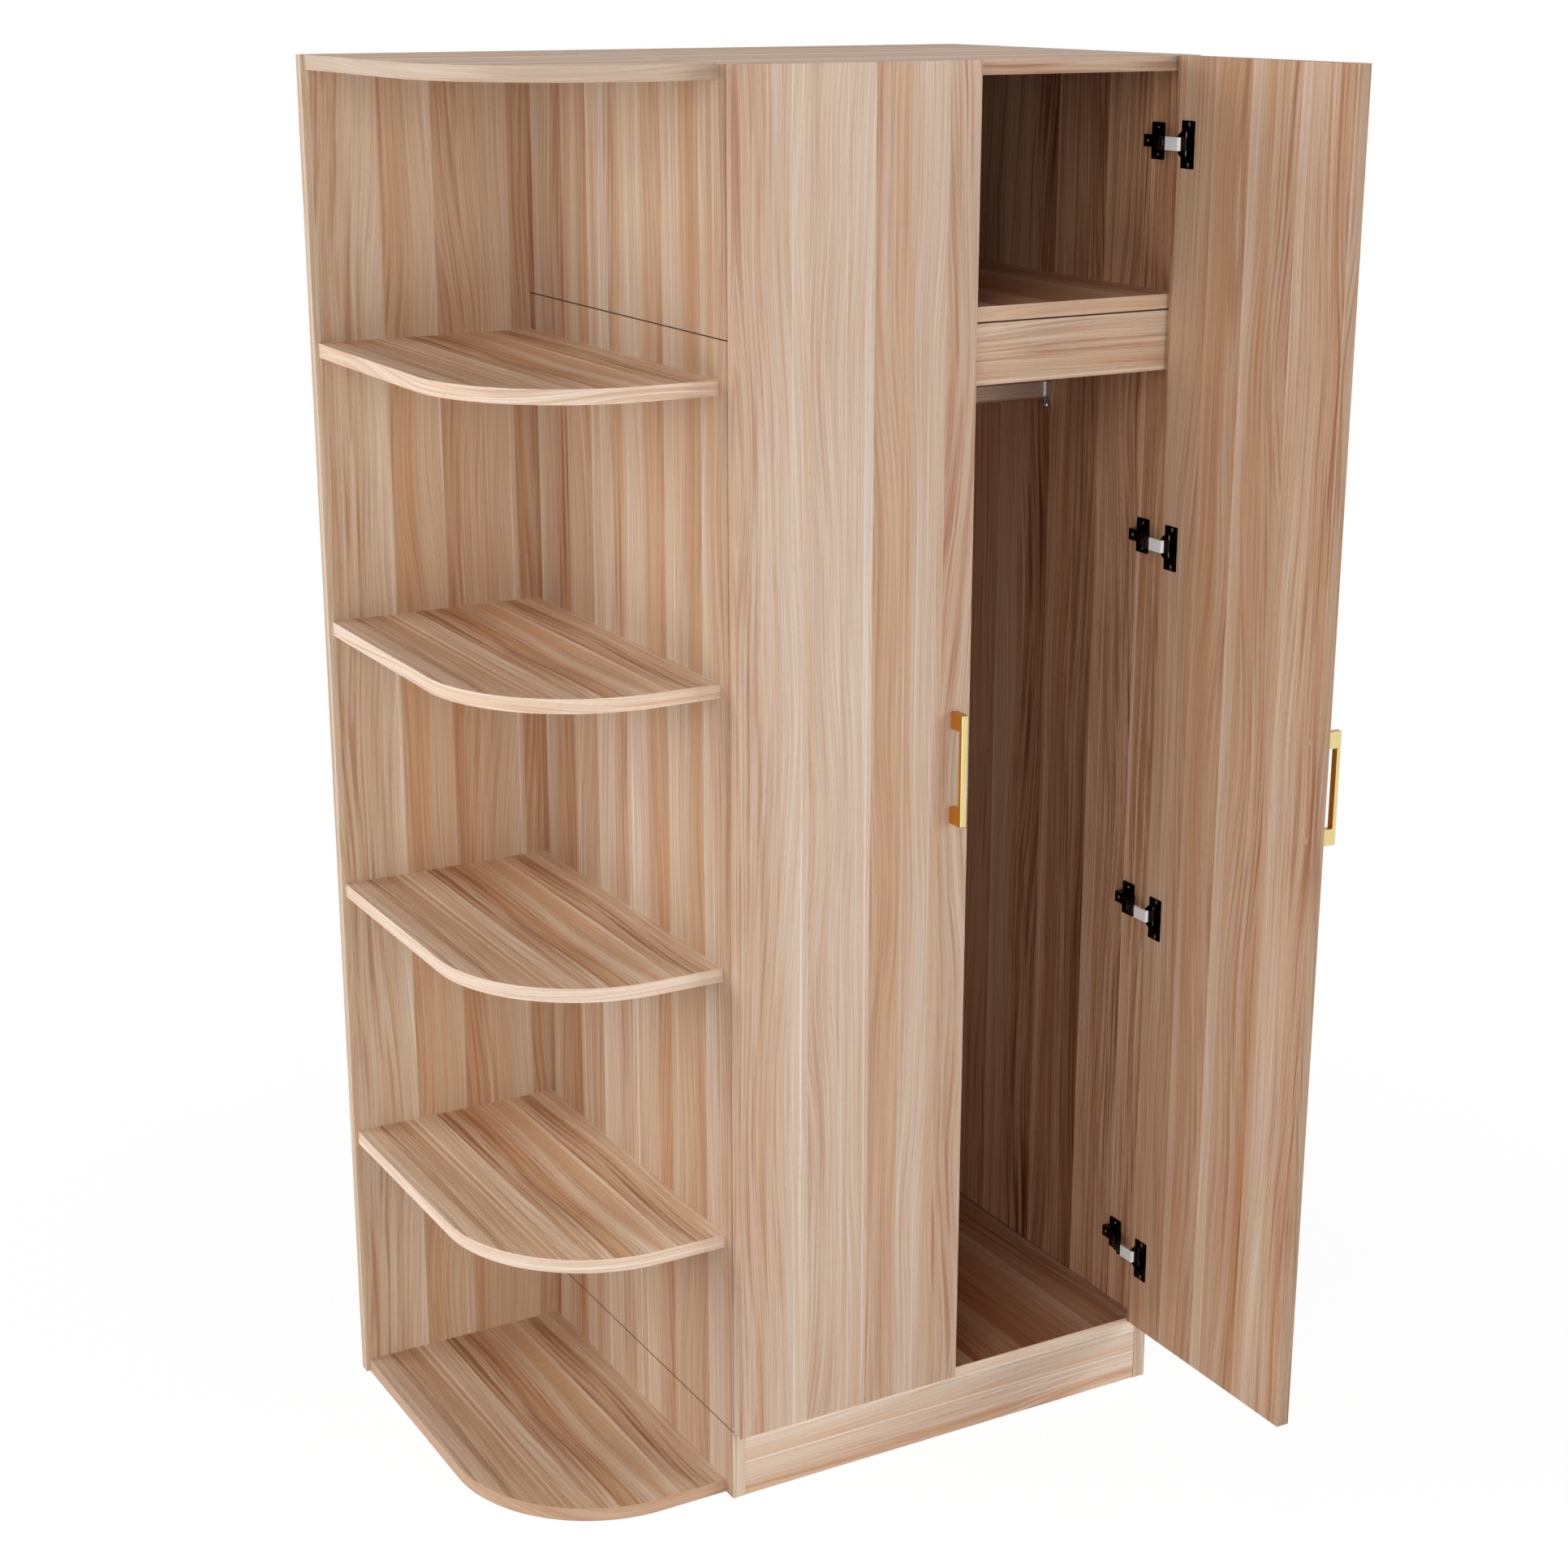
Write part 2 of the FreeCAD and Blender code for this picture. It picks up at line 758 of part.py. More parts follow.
def cup_bores():
    """The sinkings and pilot holes that one hinge needs in the door."""
    sinking = bore(cup_radius + cup_bore_clearance, cup_sides,
                   *cup_line(-cup_depth - cup_bore_clearance, overrun))
    holes = [screw_hole(seat, Y_AXIS.negative(), screw_length) for seat in cup_screw_seats()]
    return [sinking] + holes


# Door pieces, made right-handed and shut

def handle_x(edge_distance):
    """The middle across the door of a handle that stands this far from the free edge."""
    return door_free_edge + edge_distance + handle_width / 2


def handle_screw_levels():
    """The heights of the two handle screws, in the middles of the posts."""
    half = (handle_length - handle_post_height) / 2
    return [handle_middle_height + way * half for way in (-1, 1)]


def handle(middle):
    """A flat bow: a bar on two square posts, with its edges broken."""
    low = handle_middle_height - handle_length / 2
    high = handle_middle_height + handle_length / 2
    left, right = middle - handle_width / 2, middle + handle_width / 2
    front, inside = door_outer - handle_projection, door_outer - handle_projection + handle_bar_thickness
    whole = box(left, right, front, door_outer, low, high)
    gap = box(left - overrun, right + overrun, inside, door_outer + overrun,
              low + handle_post_height, high - handle_post_height)
    bow = whole.cut(gap)
    rim = [edge for edge in bow.Edges if edge.BoundBox.YMax < inside and edge.BoundBox.YMin < inside]
    chamfered = bow.makeChamfer(handle_edge_chamfer, rim)
    deep = door_outer - handle_screw_reach - screw_hole_clearance
    holes = [bore(handle_screw_radius + screw_hole_clearance, screw_sides,
                  Vector(middle, door_outer + overrun, level), Vector(middle, deep, level))
             for level in handle_screw_levels()]
    return without(chamfered, holes)


def handle_screw(middle, level):
    """A screw from inside the door into a handle post."""
    cap_under = door_inner - cap_thickness
    neck = Vector(middle, cap_under - handle_head_height, level)
    deep = Vector(middle, door_outer - handle_screw_reach, level)
    head = bar(handle_head_radius, handle_head_sides, Vector(middle, cap_under, level), neck)
    return fused([head, bar(handle_screw_radius, screw_sides, neck, deep)])


def screw_cap(middle, level):
    """The flush disc over a handle screw."""
    under = Vector(middle, door_inner - cap_thickness, level)
    return bar(cap_radius, handle_head_sides, under, Vector(middle, door_inner, level))


def handle_screw_hole(middle, level):
    """The stepped hole for a handle screw and its cap."""
    seat = Vector(middle, door_inner - cap_thickness - handle_head_height, level)
    wide = bore(cap_radius + cap_clearance, handle_head_sides, seat,
                Vector(middle, door_inner + overrun, level))
    narrow = bore(handle_screw_radius + screw_hole_clearance, screw_sides, seat,
                  Vector(middle, door_outer - overrun, level))
    return fused([wide, narrow])


def door_panel(handle_middle):
    """The door board with its hinge bores and handle holes."""
    panel = box(door_free_edge, door_edge, door_outer, door_inner, door_bottom, cabinet_height)
    cutters = [copy for hole in cup_bores() for copy in at_hinges(hole)]
    cutters += [handle_screw_hole(handle_middle, level) for level in handle_screw_levels()]
    return without(panel, cutters)


def door_pieces(handle_edge_distance):
    """All that swings with a right-hand door, shut, its handle this far from the free edge."""
    middle = handle_x(handle_edge_distance)
    cup_screws = [screw(seat, Y_AXIS.negative(), screw_length) for seat in cup_screw_seats()]
    return {
        "door_panel": door_panel(middle),
        "hinge_cups": Part.makeCompound(at_hinges(hinge_cup())),
        "cup_pins": Part.makeCompound(at_hinges(pin(cup_pivot, cup_pin_length()))),
        "cup_screws": Part.makeCompound([copy for piece in cup_screws for copy in at_hinges(piece)]),
        "handle": handle(middle),
        "handle_screws": Part.makeCompound([handle_screw(middle, level) for level in handle_screw_levels()]),
        "screw_caps": Part.makeCompound([screw_cap(middle, level) for level in handle_screw_levels()]),
    }


def hinge_fixings():
    """The hinge pieces that stay on the cabinet's right side."""
    plate_screws = [screw(seat, X_AXIS, screw_length) for seat in plate_screw_seats()]
    arm_screw = screw(arm_screw_seat(), X_AXIS, arm_screw_length())
    return {
        "hinge_plates": Part.makeCompound(at_hinges(hinge_plate())),
        "hinge_arms": Part.makeCompound(at_hinges(hinge_arm())),
        "arm_pins": Part.makeCompound(at_hinges(pin(arm_pivot, link_height))),
        "plate_screws": Part.makeCompound([copy for piece in plate_screws for copy in at_hinges(piece)]),
        "arm_screws": Part.makeCompound(at_hinges(arm_screw)),
    }


# Poses: the left side is the mirrored right side, and the right door is swung out

def link_swung(shape):
    """A right-hand link turned about the arm pins to its place with the door open."""
    turned = shape.copy()
    turned.rotate(arm_pivot, Z_AXIS, -link_rest_turn)
    return turned


def open_cup_pivot():
    """Where the right door's cup pins stand when it is open."""
    return link_swung(Part.Vertex(cup_pivot)).Point


def door_swung(shape):
    """A right-hand door piece carried by the link and turned to its open place."""
    turned = shape.copy()
    turned.rotate(cup_pivot, Z_AXIS, door_rest_turn)
    turned.translate(open_cup_pivot().sub(cup_pivot))
    return turned


def hung_pieces():
    """Both doors, their links and the hinge pieces on the sides."""
    links = Part.makeCompound(at_hinges(hinge_link()))
    pieces = {"left_hinge_links": mirrored(links), "right_hinge_links": link_swung(links)}
    for name, shape in hinge_fixings().items():
        pieces["left_" + name] = mirrored(shape)
        pieces["right_" + name] = shape
    for name, shape in door_pieces(left_handle_edge_distance).items():
        pieces["left_" + name] = mirrored(shape)
    for name, shape in door_pieces(right_handle_edge_distance).items():
        pieces["right_" + name] = door_swung(shape)
    return pieces


def fittings():
    """Cam discs and bolts, dowels and the end unit's rear screws, each kind in one group."""
    reach = cam_radius + cam_clearance
    discs = [bar(cam_radius, cam_sides, *cam_line(place, cam_depth)) for place, way in all_cams()]
    bolts = [bar(cam_bolt_radius, screw_sides, *cam_bolt_line(place, way, reach, 0))
             for place, way in all_cams()]
    dowels = [bar(dowel_radius, dowel_sides, *dowel_line(seam, way, 0)) for seam, way in dowel_seams()]
    return {
        "cam_discs": Part.makeCompound(discs),
        "cam_bolts": Part.makeCompound(bolts),
        "dowels": Part.makeCompound(dowels),
        "end_back_screws": Part.makeCompound(end_back_screws()),
    }


def origin():
    """The point on the floor under the middle of the whole part, with the right door open."""
    pivot = open_cup_pivot()
    right = pivot.x - cup_pivot_depth + door_thickness + handle_projection
    front = pivot.y + cup_pivot_inset - door_width
    return Vector((right - end_width) / 2, (front + carcass_depth) / 2, 0)


def all_pieces():
    """Every node of the part by name, in the cabinet's own axes."""
    pieces = {}
    for group in (side_boards, level_boards, cross_boards, back_panels, end_unit, hanging_rail_pieces,
                  fittings, hung_pieces):
        pieces.update(group())
    return pieces


def main():
    """Make every piece, set it about the origin and write it out."""
    os.makedirs("parts", exist_ok=True)
    shift = origin().negative()
    for name, shape in all_pieces().items():
        placed = shape.copy()
        placed.translate(shift)
        placed.exportStep("parts/%s.step" % name)
        print(name, len(placed.Solids), round(placed.Volume), placed.isValid())


main()
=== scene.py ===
"""Looks of a two-door wardrobe with an open, round-cornered shelf unit on its left end."""

import logging
import math
from dataclasses import asdict, dataclass, fields
from enum import Enum
from typing import Any, Dict, List, NamedTuple, Optional, Sequence, Tuple

import bmesh
import bpy
from mathutils import Matrix, Vector


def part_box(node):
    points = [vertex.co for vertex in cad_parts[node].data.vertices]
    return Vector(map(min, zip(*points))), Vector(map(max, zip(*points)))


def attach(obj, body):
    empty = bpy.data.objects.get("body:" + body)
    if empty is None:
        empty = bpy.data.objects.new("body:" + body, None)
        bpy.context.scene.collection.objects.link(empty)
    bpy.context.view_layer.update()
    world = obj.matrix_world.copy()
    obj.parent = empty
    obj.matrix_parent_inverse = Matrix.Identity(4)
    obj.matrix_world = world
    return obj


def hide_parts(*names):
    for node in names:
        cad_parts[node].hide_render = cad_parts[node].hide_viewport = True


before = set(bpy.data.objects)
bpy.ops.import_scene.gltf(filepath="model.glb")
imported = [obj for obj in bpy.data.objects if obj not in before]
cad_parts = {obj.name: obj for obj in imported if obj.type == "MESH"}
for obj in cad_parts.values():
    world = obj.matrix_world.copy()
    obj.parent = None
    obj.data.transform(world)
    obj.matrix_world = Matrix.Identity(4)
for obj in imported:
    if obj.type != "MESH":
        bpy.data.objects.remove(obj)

log = logging.getLogger("wardrobe")

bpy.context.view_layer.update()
MM = 0.001

Colour = Tuple[float, float, float, float]
Point = Tuple[float, float, float]
Socket = bpy.types.NodeSocket

WHITE: Colour = (1.0, 1.0, 1.0, 1.0)
# A face looks along an axis where more than this share of its normal lies along it
FACING = 0.5
# The middle of a noise texture's values, and the two between which most of them lie
NOISE_MIDDLE, NOISE_LOW, NOISE_HIGH = 0.5, 0.3, 0.7
# Tone of the laminate where nothing shades it
PLAIN_TONE = "C9AE97"


def linear(code: str) -> Colour:
    """Turn an sRGB hex colour into linear light.

    Args:
        code: Six hex digits.

    Returns:
        The linear colour with full alpha.
    """
    shares = [int(code[at:at + 2], 16) / 255 for at in (0, 2, 4)]
    light = [share / 12.92 if share <= 0.04045 else ((share + 0.055) / 1.055) ** 2.4 for share in shares]
    return (light[0], light[1], light[2], 1.0)


def put(tree: bpy.types.NodeTree, kind: str, inputs: Optional[Dict[Any, Any]] = None,
        **settings: Any) -> bpy.types.Node:
    """Add one node with its settings, values and links.

    Args:
        tree: The tree that gets the node.
        kind: The node's type name.
        inputs: Values or output sockets by input name or number.
        settings: The node's own properties.

    Returns:
        The new node.
    """
    node = tree.nodes.new(kind)
    for name, value in settings.items():
        setattr(node, name, value)
    for key, value in (inputs or {}).items():
        if isinstance(value, Socket):
            tree.links.new(value, node.inputs[key])
        else:
            node.inputs[key].default_value = value
    return node


def blank(name: str) -> bpy.types.Material:
    """Make a material whose tree is still empty.

    Args:
        name: The material's name.

    Returns:
        The material.
    """
    made = bpy.data.materials.new(name)
    made.use_nodes = True
    made.node_tree.nodes.clear()
    return made


def new_piece(name: str, mesh: bpy.types.Mesh) -> bpy.types.Object:
    """Put a mesh into the scene as a piece at the origin.

    Args:
        name: The piece's name.
        mesh: Its mesh, with the place in its vertices.

    Returns:
        The new object.
    """
    piece = bpy.data.objects.new(name, mesh)
    bpy.context.scene.collection.objects.link(piece)
    return piece


def settle(piece: bpy.types.Object, body: str, nodes: Sequence[str]) -> None:
    """Fix a piece to its body and let it stand for its CAD nodes.

    Args:
        piece: The finished piece.
        body: The CAD body that carries it.
        nodes: The CAD nodes that it stands for.
    """
    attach(piece, body)
    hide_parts(*nodes)
    log.info("%s rides on %s and stands for %s", piece.name, body, ", ".join(nodes))


def dress(node: str, material: bpy.types.Material) -> None:
    """Give a CAD node its material.

    Args:
        node: The node's name.
        material: Its finish.
    """
    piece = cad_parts[node]
    if not piece.material_slots:
        piece.data.materials.append(material)
    for slot in piece.material_slots:
        slot.material = material
    log.info("%s is dressed in %s", node, material.name)


class Grain(Enum):
    """Which way the printed grain runs on a board."""

    UPRIGHT = "upright"
    DEEP = "deep"
    ACROSS = "across"


class Side(Enum):
    """The left and the right one of a pair, such as the doors."""

    LEFT = "left"
    RIGHT = "right"


class Span(NamedTuple):
    """A stretch of one value, from start to stop, and what it becomes there, from first to last."""

    start: float
    stop: float
    first: float
    last: float

    def of(self, value: Socket) -> Dict[int, Any]:
        """Return the inputs of a range node that reads the value."""
        return {0: value, 1: self.start, 2: self.stop, 3: self.first, 4: self.last}


class Streak(NamedTuple):
    """One layer of the print: how wide and long its streaks are, how detailed, and whether they lean."""

    width_mm: float
    length_mm: float
    detail: float
    leans: bool


@dataclass(frozen=True)
class Board:
    """A board, or several cut alike: how its print runs and its painted light and shade on faces and edges.

    Its face and edge tones are set board by board, lighter or darker, partly to stand in for the light each
    gets:
    painted light and shade over one laminate. A depth over 1 steepens and darkens the print as painted shade.
    Where only one of the two faces is so, inner is the direction of that face along the board's thickness,
    and the opposite face keeps the plain print over the tone called other, which may be painted shade too.
    Seams are the levels of the dark joints between boxes, in metres.
    """

    name: str
    nodes: Tuple[str, ...]
    grain: Grain
    seed: float
    face: str
    edge: str
    depth: float = 1.0
    inner: int = 0
    seams: Tuple[float, ...] = ()
    other: str = PLAIN_TONE

    def thin(self) -> int:
        """Find the axis of the board's thickness.

        Returns:
            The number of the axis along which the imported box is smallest.
        """
        low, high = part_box(self.nodes[0])
        sizes = list(high - low)
        return sizes.index(min(sizes))

    def build(self) -> None:
        """Give the board its laminate."""
        finish = LAMINATE.material(self)
        for node in self.nodes:
            dress(node, finish)


@dataclass(frozen=True)
class ElmLaminate:
    """Melamine-faced board printed as edge-glued elm staves.

    Each stave starts dark at one edge and pales towards the other, so the joints read as sharp steps. Inside
    it run slanting hair lines, a few red-brown ones and pale streaks, under a satin film. Real hair lines and
    pores are finer than a pixel of the render, so these are as coarse as they need to be to show.
    """

    # Staves: their width, how uneven it is, and how far a seed moves the print, in metres
    stave_mm: float = 94.0
    stave_jitter: float = 0.8
    seed_shift: float = 2.37
    # Bends of the lines, first gentle leaning, then eyes: across the grain, along it and their swing, in mm
    bends_mm: Tuple[Point, ...] = ((150.0, 560.0, 40.0), (30.0, 460.0, 5.0))
    bend_detail: float = 1.0
    bend_roughness: float = 0.35
    # Depths in the noise at which staves, bends and layers are cut, so that none repeats another
    stave_level: float = 2.0
    bend_level: float = 9.1
    layer_level: float = 5.0
    layer_step: float = 3.7
    streaks: Tuple[Tuple[str, Streak], ...] = (
        ("band", Streak(30.0, 2000.0, 1.0, False)),
        ("broad", Streak(5.0, 600.0, 2.0, True)),
        ("line", Streak(1.8, 230.0, 4.0, True)),
        ("red", Streak(5.5, 260.0, 3.0, True)),
        ("pale", Streak(4.5, 1500.0, 1.0, False)),
        ("pore", Streak(0.9, 14.0, 1.0, True)),
        ("tone", Streak(260.0, 900.0, 1.0, False)),
    )
    streak_roughness: float = 0.55
    # Lightness on the palette: its start, the stave's slope and own tone, and each layer's weight
    start_light: float = -0.215
    rise: Span = Span(0.0, 1.0, 0.06, 0.26)
    stave_weight: float = 0.22
    weights: Tuple[Tuple[str, float], ...] = (("band", 0.24), ("broad", 0.24), ("line", 0.66), ("tone", 0.20))
    # How much of the tan, red, pale and pore colours is laid over it
    warmth: Span = Span(0.50, 0.30, 0.0, 0.38)
    redness: Span = Span(0.48, 0.66, 0.0, 0.72)
    red_on_slope: Span = Span(0.30, -0.40, 0.12, 1.0)
    red_in_stave: Span = Span(0.0, 1.0, 0.35, 1.0)
    paleness: Span = Span(0.60, 0.72, 0.0, 0.5)
    pale_on_slope: Span = Span(-0.2, 0.35, 0.15, 1.0)
    poring: Span = Span(0.60, 0.72, 0.0, 0.16)
    palette: Tuple[Tuple[float, str], ...] = (
        (0.00, "8F5C40"), (0.25, "B1876B"), (0.45, "C3A38A"),
        (0.60, "CCB49F"), (0.80, "D9C9B9"), (1.00, "E7DED3"),
    )
    tan: str = "C69C76"
    red: str = "9E6543"
    pale: str = "E6DCD0"
    seam: str = "3A281C"
    seam_mm: float = 0.8
    # Painted shade: up to this depth the hues are steepened, and beyond it the dark parts only darken
    hue_limit: float = 1.5
    # The film: satin, a little rougher on pale lines, with sunk pores and a faint mirror
    gloss: Span = Span(NOISE_LOW, NOISE_HIGH, 0.40, 0.52)
    pore_sink: float = -3.0
    bump_mm: float = 0.06
    bump_strength: float = 0.25
    ior: float = 1.5
    mirror: float = 0.12

    def pattern(self) -> bpy.types.NodeTree:
        """Build the printed pattern once, as a group that reads a place across and along the grain.

        Returns:
            The node group, with Colour, Rough and Height outputs.
        """
        made = bpy.data.node_groups.get("elm_staves")
        if made:
            return made
        tree = bpy.data.node_groups.new("elm_staves", "ShaderNodeTree")
        for name in ("Across", "Along", "Seed"):
            tree.interface.new_socket(name, in_out="INPUT", socket_type="NodeSocketFloat")
        tree.interface.new_socket("Colour", in_out="OUTPUT", socket_type="NodeSocketColor")
        for name in ("Rough", "Height"):
            tree.interface.new_socket(name, in_out="OUTPUT", socket_type="NodeSocketFloat")
        given = put(tree, "NodeGroupInput").outputs
        across, along, seed = given["Across"], given["Along"], given["Seed"]

        # Staves: one cell each, with its own tone, slope and level in the noise
        stave_scale = 1 / (self.stave_mm * MM)
        place = put(tree, "ShaderNodeMath", {0: seed, 1: self.seed_shift, 2: across},
                    operation="MULTIPLY_ADD").outputs[0]
        cells = put(tree, "ShaderNodeTexVoronoi",
                    {"W": place, "Scale": stave_scale, "Randomness": self.stave_jitter},
                    voronoi_dimensions="1D", feature="F1").outputs
        own = put(tree, "ShaderNodeSeparateColor", {0: cells["Color"]}).outputs
        off = put(tree, "ShaderNodeMath", {0: place, 1: cells["W"]}, operation="SUBTRACT").outputs[0]
        slope = put(tree, "ShaderNodeMath", {0: off, 1: stave_scale}, operation="MULTIPLY").outputs[0]

        # Leaning and eye-shaped lines come from bending the place across the grain
        layer = put(tree, "ShaderNodeMath", {0: own[2], 1: self.stave_level, 2: seed},
                    operation="MULTIPLY_ADD").outputs[0]
        flat = put(tree, "ShaderNodeCombineXYZ", {0: across, 1: along, 2: layer}).outputs[0]
        slid = across
        for wide, long, swing_mm in self.bends_mm:
            spot = put(tree, "ShaderNodeMapping", {
                "Vector": flat, "Scale": (1 / (wide * MM), 1 / (long * MM), self.bend_level),
            }).outputs[0]
            bend = put(tree, "ShaderNodeTexNoise", {
                "Vector": spot, "Scale": 1.0, "Detail": self.bend_detail, "Roughness": self.bend_roughness,
            }).outputs[0]
            swing = put(tree, "ShaderNodeMath", {0: bend, 1: NOISE_MIDDLE}, operation="SUBTRACT").outputs[0]
            slid = put(tree, "ShaderNodeMath", {0: swing, 1: 2 * swing_mm * MM, 2: slid},
                       operation="MULTIPLY_ADD").outputs[0]
        lined = put(tree, "ShaderNodeCombineXYZ", {0: slid, 1: along, 2: layer}).outputs[0]

        # Layers of noise, stretched along the grain
        noise: Dict[str, Socket] = {}
        for number, (name, streak) in enumerate(self.streaks):
            spot = put(tree, "ShaderNodeMapping", {
                "Vector": lined if streak.leans else flat,
                "Location": (0.0, 0.0, self.layer_step * number),
                "Scale": (1 / (streak.width_mm * MM), 1 / (streak.length_mm * MM), self.layer_level),
            }).outputs[0]
            noise[name] = put(tree, "ShaderNodeTexNoise", {
                "Vector": spot, "Scale": 1.0, "Detail": streak.detail, "Roughness": self.streak_roughness,
            }).outputs[0]

        # Lightness of a spot: the stave's slope and tone, then the layers
        rise = put(tree, "ShaderNodeMapRange", self.rise.of(own[1])).outputs[0]
        light = put(tree, "ShaderNodeMath", {0: slope, 1: rise, 2: self.start_light},
                    operation="MULTIPLY_ADD").outputs[0]
        weighed = [(own[0], self.stave_weight)] + [(noise[name], weight) for name, weight in self.weights]
        for source, weight in weighed:
            light = put(tree, "ShaderNodeMath", {0: source, 1: weight, 2: light},
                        operation="MULTIPLY_ADD").outputs[0]
        ramp = put(tree, "ShaderNodeValToRGB", {0: light})
        while len(ramp.color_ramp.elements) < len(self.palette):
            ramp.color_ramp.elements.new(0.5)
        for stop, (position, code) in zip(ramp.color_ramp.elements, self.palette):
            stop.position = position
            stop.color = linear(code)

        # Tan bands, red lines on the dark part of some staves, pale streaks on the light part, and pores
        warm = put(tree, "ShaderNodeMapRange", self.warmth.of(noise["band"])).outputs[0]
        red = put(tree, "ShaderNodeMapRange", self.redness.of(noise["red"])).outputs[0]
        for span, source in ((self.red_on_slope, slope), (self.red_in_stave, own[1])):
            share = put(tree, "ShaderNodeMapRange", span.of(source)).outputs[0]
            red = put(tree, "ShaderNodeMath", {0: red, 1: share}, operation="MULTIPLY").outputs[0]
        pale = put(tree, "ShaderNodeMapRange", self.paleness.of(noise["pale"])).outputs[0]
        lit = put(tree, "ShaderNodeMapRange", self.pale_on_slope.of(slope)).outputs[0]
        pale = put(tree, "ShaderNodeMath", {0: pale, 1: lit}, operation="MULTIPLY").outputs[0]
        pore = put(tree, "ShaderNodeMapRange", self.poring.of(noise["pore"])).outputs[0]
        colour = ramp.outputs[0]
        for share, code in ((warm, self.tan), (red, self.red), (pale, self.pale), (pore, self.palette[0][1])):
            colour = put(tree, "ShaderNodeMix", {0: share, 6: colour, 7: linear(code)},
                         data_type="RGBA").outputs[2]

        rough = put(tree, "ShaderNodeMapRange", self.gloss.of(noise["line"])).outputs[0]
        height = put(tree, "ShaderNodeMath", {0: pore, 1: self.pore_sink, 2: noise["line"]},
                     operation="MULTIPLY_ADD").outputs[0]
        put(tree, "NodeGroupOutput", {"Colour": colour, "Rough": rough, "Height": height})
        return tree

    def material(self, board: Board) -> bpy.types.Material:
        """Make the laminate of one board.

        Args:
            board: The board's cut and tones.

        Returns:
            The material.
        """
        made = blank("laminate_" + board.name)
        tree = made.node_tree
        reading = put(tree, "ShaderNodeTexCoord").outputs
        at = put(tree, "ShaderNodeSeparateXYZ", {0: reading["Object"]}).outputs
        facing = put(tree, "ShaderNodeSeparateXYZ", {0: reading["Normal"]}).outputs
        upward = put(tree, "ShaderNodeMath", {0: facing[2]}, operation="ABSOLUTE").outputs[0]
        level = put(tree, "ShaderNodeMath", {0: upward, 1: FACING}, operation="GREATER_THAN").outputs[0]
        outward = facing[board.thin()]
        flat = put(tree, "ShaderNodeMath", {0: outward}, operation="ABSOLUTE").outputs[0]
        wide = put(tree, "ShaderNodeMath", {0: flat, 1: FACING}, operation="GREATER_THAN").outputs[0]
        summed = put(tree, "ShaderNodeMath", {0: at[0], 1: at[1]}, operation="ADD").outputs[0]
        apart = put(tree, "ShaderNodeMath", {0: at[0], 1: at[1]}, operation="SUBTRACT").outputs[0]
        # Places on the standing faces, then on the level ones: across the grain and along it
        places = {
            Grain.UPRIGHT: ((summed, at[2]), (apart, summed)),
            Grain.DEEP: ((at[2], apart), (at[0], at[1])),
            Grain.ACROSS: ((at[2], apart), (at[1], at[0])),
        }
        standing, lying = places[board.grain]
        across, along = (
            put(tree, "ShaderNodeMix", {0: level, 2: stand, 3: lie}, data_type="FLOAT").outputs[0]
            for stand, lie in zip(standing, lying)
        )
        print_ = put(tree, "ShaderNodeGroup", {"Across": across, "Along": along, "Seed": board.seed},
                     node_tree=self.pattern())

        # The print about its middle tone, steepened and darkened as painted shade, and laid over the board's
        # own tone, which carries painted light and shade
        face, painted_shade_faces = linear(board.face), wide
        if board.inner:
            turned = put(tree, "ShaderNodeMath", {0: outward, 1: board.inner},
                         operation="MULTIPLY").outputs[0]
            painted_shade_faces = put(tree, "ShaderNodeMath", {0: turned, 1: FACING}, operation="GREATER_THAN").outputs[0]
            face = put(tree, "ShaderNodeMix", {0: painted_shade_faces, 6: linear(board.other), 7: face},
                       data_type="RGBA").outputs[2]
        tone = put(tree, "ShaderNodeMix", {0: wide, 6: linear(board.edge), 7: face},
                   data_type="RGBA").outputs[2]
        even = put(tree, "ShaderNodeMix", {0: 1.0, 6: print_.outputs["Colour"], 7: linear(PLAIN_TONE)},
                   data_type="RGBA", blend_type="DIVIDE").outputs[2]
        depth = put(tree, "ShaderNodeMapRange",
                    {0: painted_shade_faces, 3: 1.0, 4: min(board.depth, self.hue_limit)}).outputs[0]
        steep = put(tree, "ShaderNodeGamma", {0: even, 1: depth}).outputs[0]
        if board.depth > self.hue_limit:
            further = put(tree, "ShaderNodeMapRange",
                          {0: painted_shade_faces, 3: 0.0, 4: board.depth - self.hue_limit}).outputs[0]
            light = put(tree, "ShaderNodeRGBToBW", {0: even}).outputs[0]
            darker = put(tree, "ShaderNodeMath", {0: light, 1: further},
                         operation="POWER", use_clamp=True).outputs[0]
            steep = put(tree, "ShaderNodeMix", {0: 1.0, 6: steep, 7: darker},
                        data_type="RGBA", blend_type="MULTIPLY").outputs[2]
        colour = put(tree, "ShaderNodeMix", {0: 1.0, 6: steep, 7: tone},
                     data_type="RGBA", blend_type="MULTIPLY").outputs[2]
        for seam in board.seams:
            away = put(tree, "ShaderNodeMath", {0: at[2], 1: seam}, operation="SUBTRACT").outputs[0]
            off = put(tree, "ShaderNodeMath", {0: away}, operation="ABSOLUTE").outputs[0]
            dark = put(tree, "ShaderNodeMath", {0: off, 1: self.seam_mm * MM},
                       operation="LESS_THAN").outputs[0]
            colour = put(tree, "ShaderNodeMix", {0: dark, 6: colour, 7: linear(self.seam)},
                         data_type="RGBA").outputs[2]
        bump = put(tree, "ShaderNodeBump", {
            "Height": print_.outputs["Height"], "Strength": self.bump_strength, "Distance": self.bump_mm * MM,
        }).outputs[0]
        film = put(tree, "ShaderNodeBsdfPrincipled", {
            "Base Color": colour, "Roughness": print_.outputs["Rough"], "Normal": bump,
            "IOR": self.ior, "Specular IOR Level": self.mirror,
        })
        put(tree, "ShaderNodeOutputMaterial", {"Surface": film.outputs[0]})
        return made


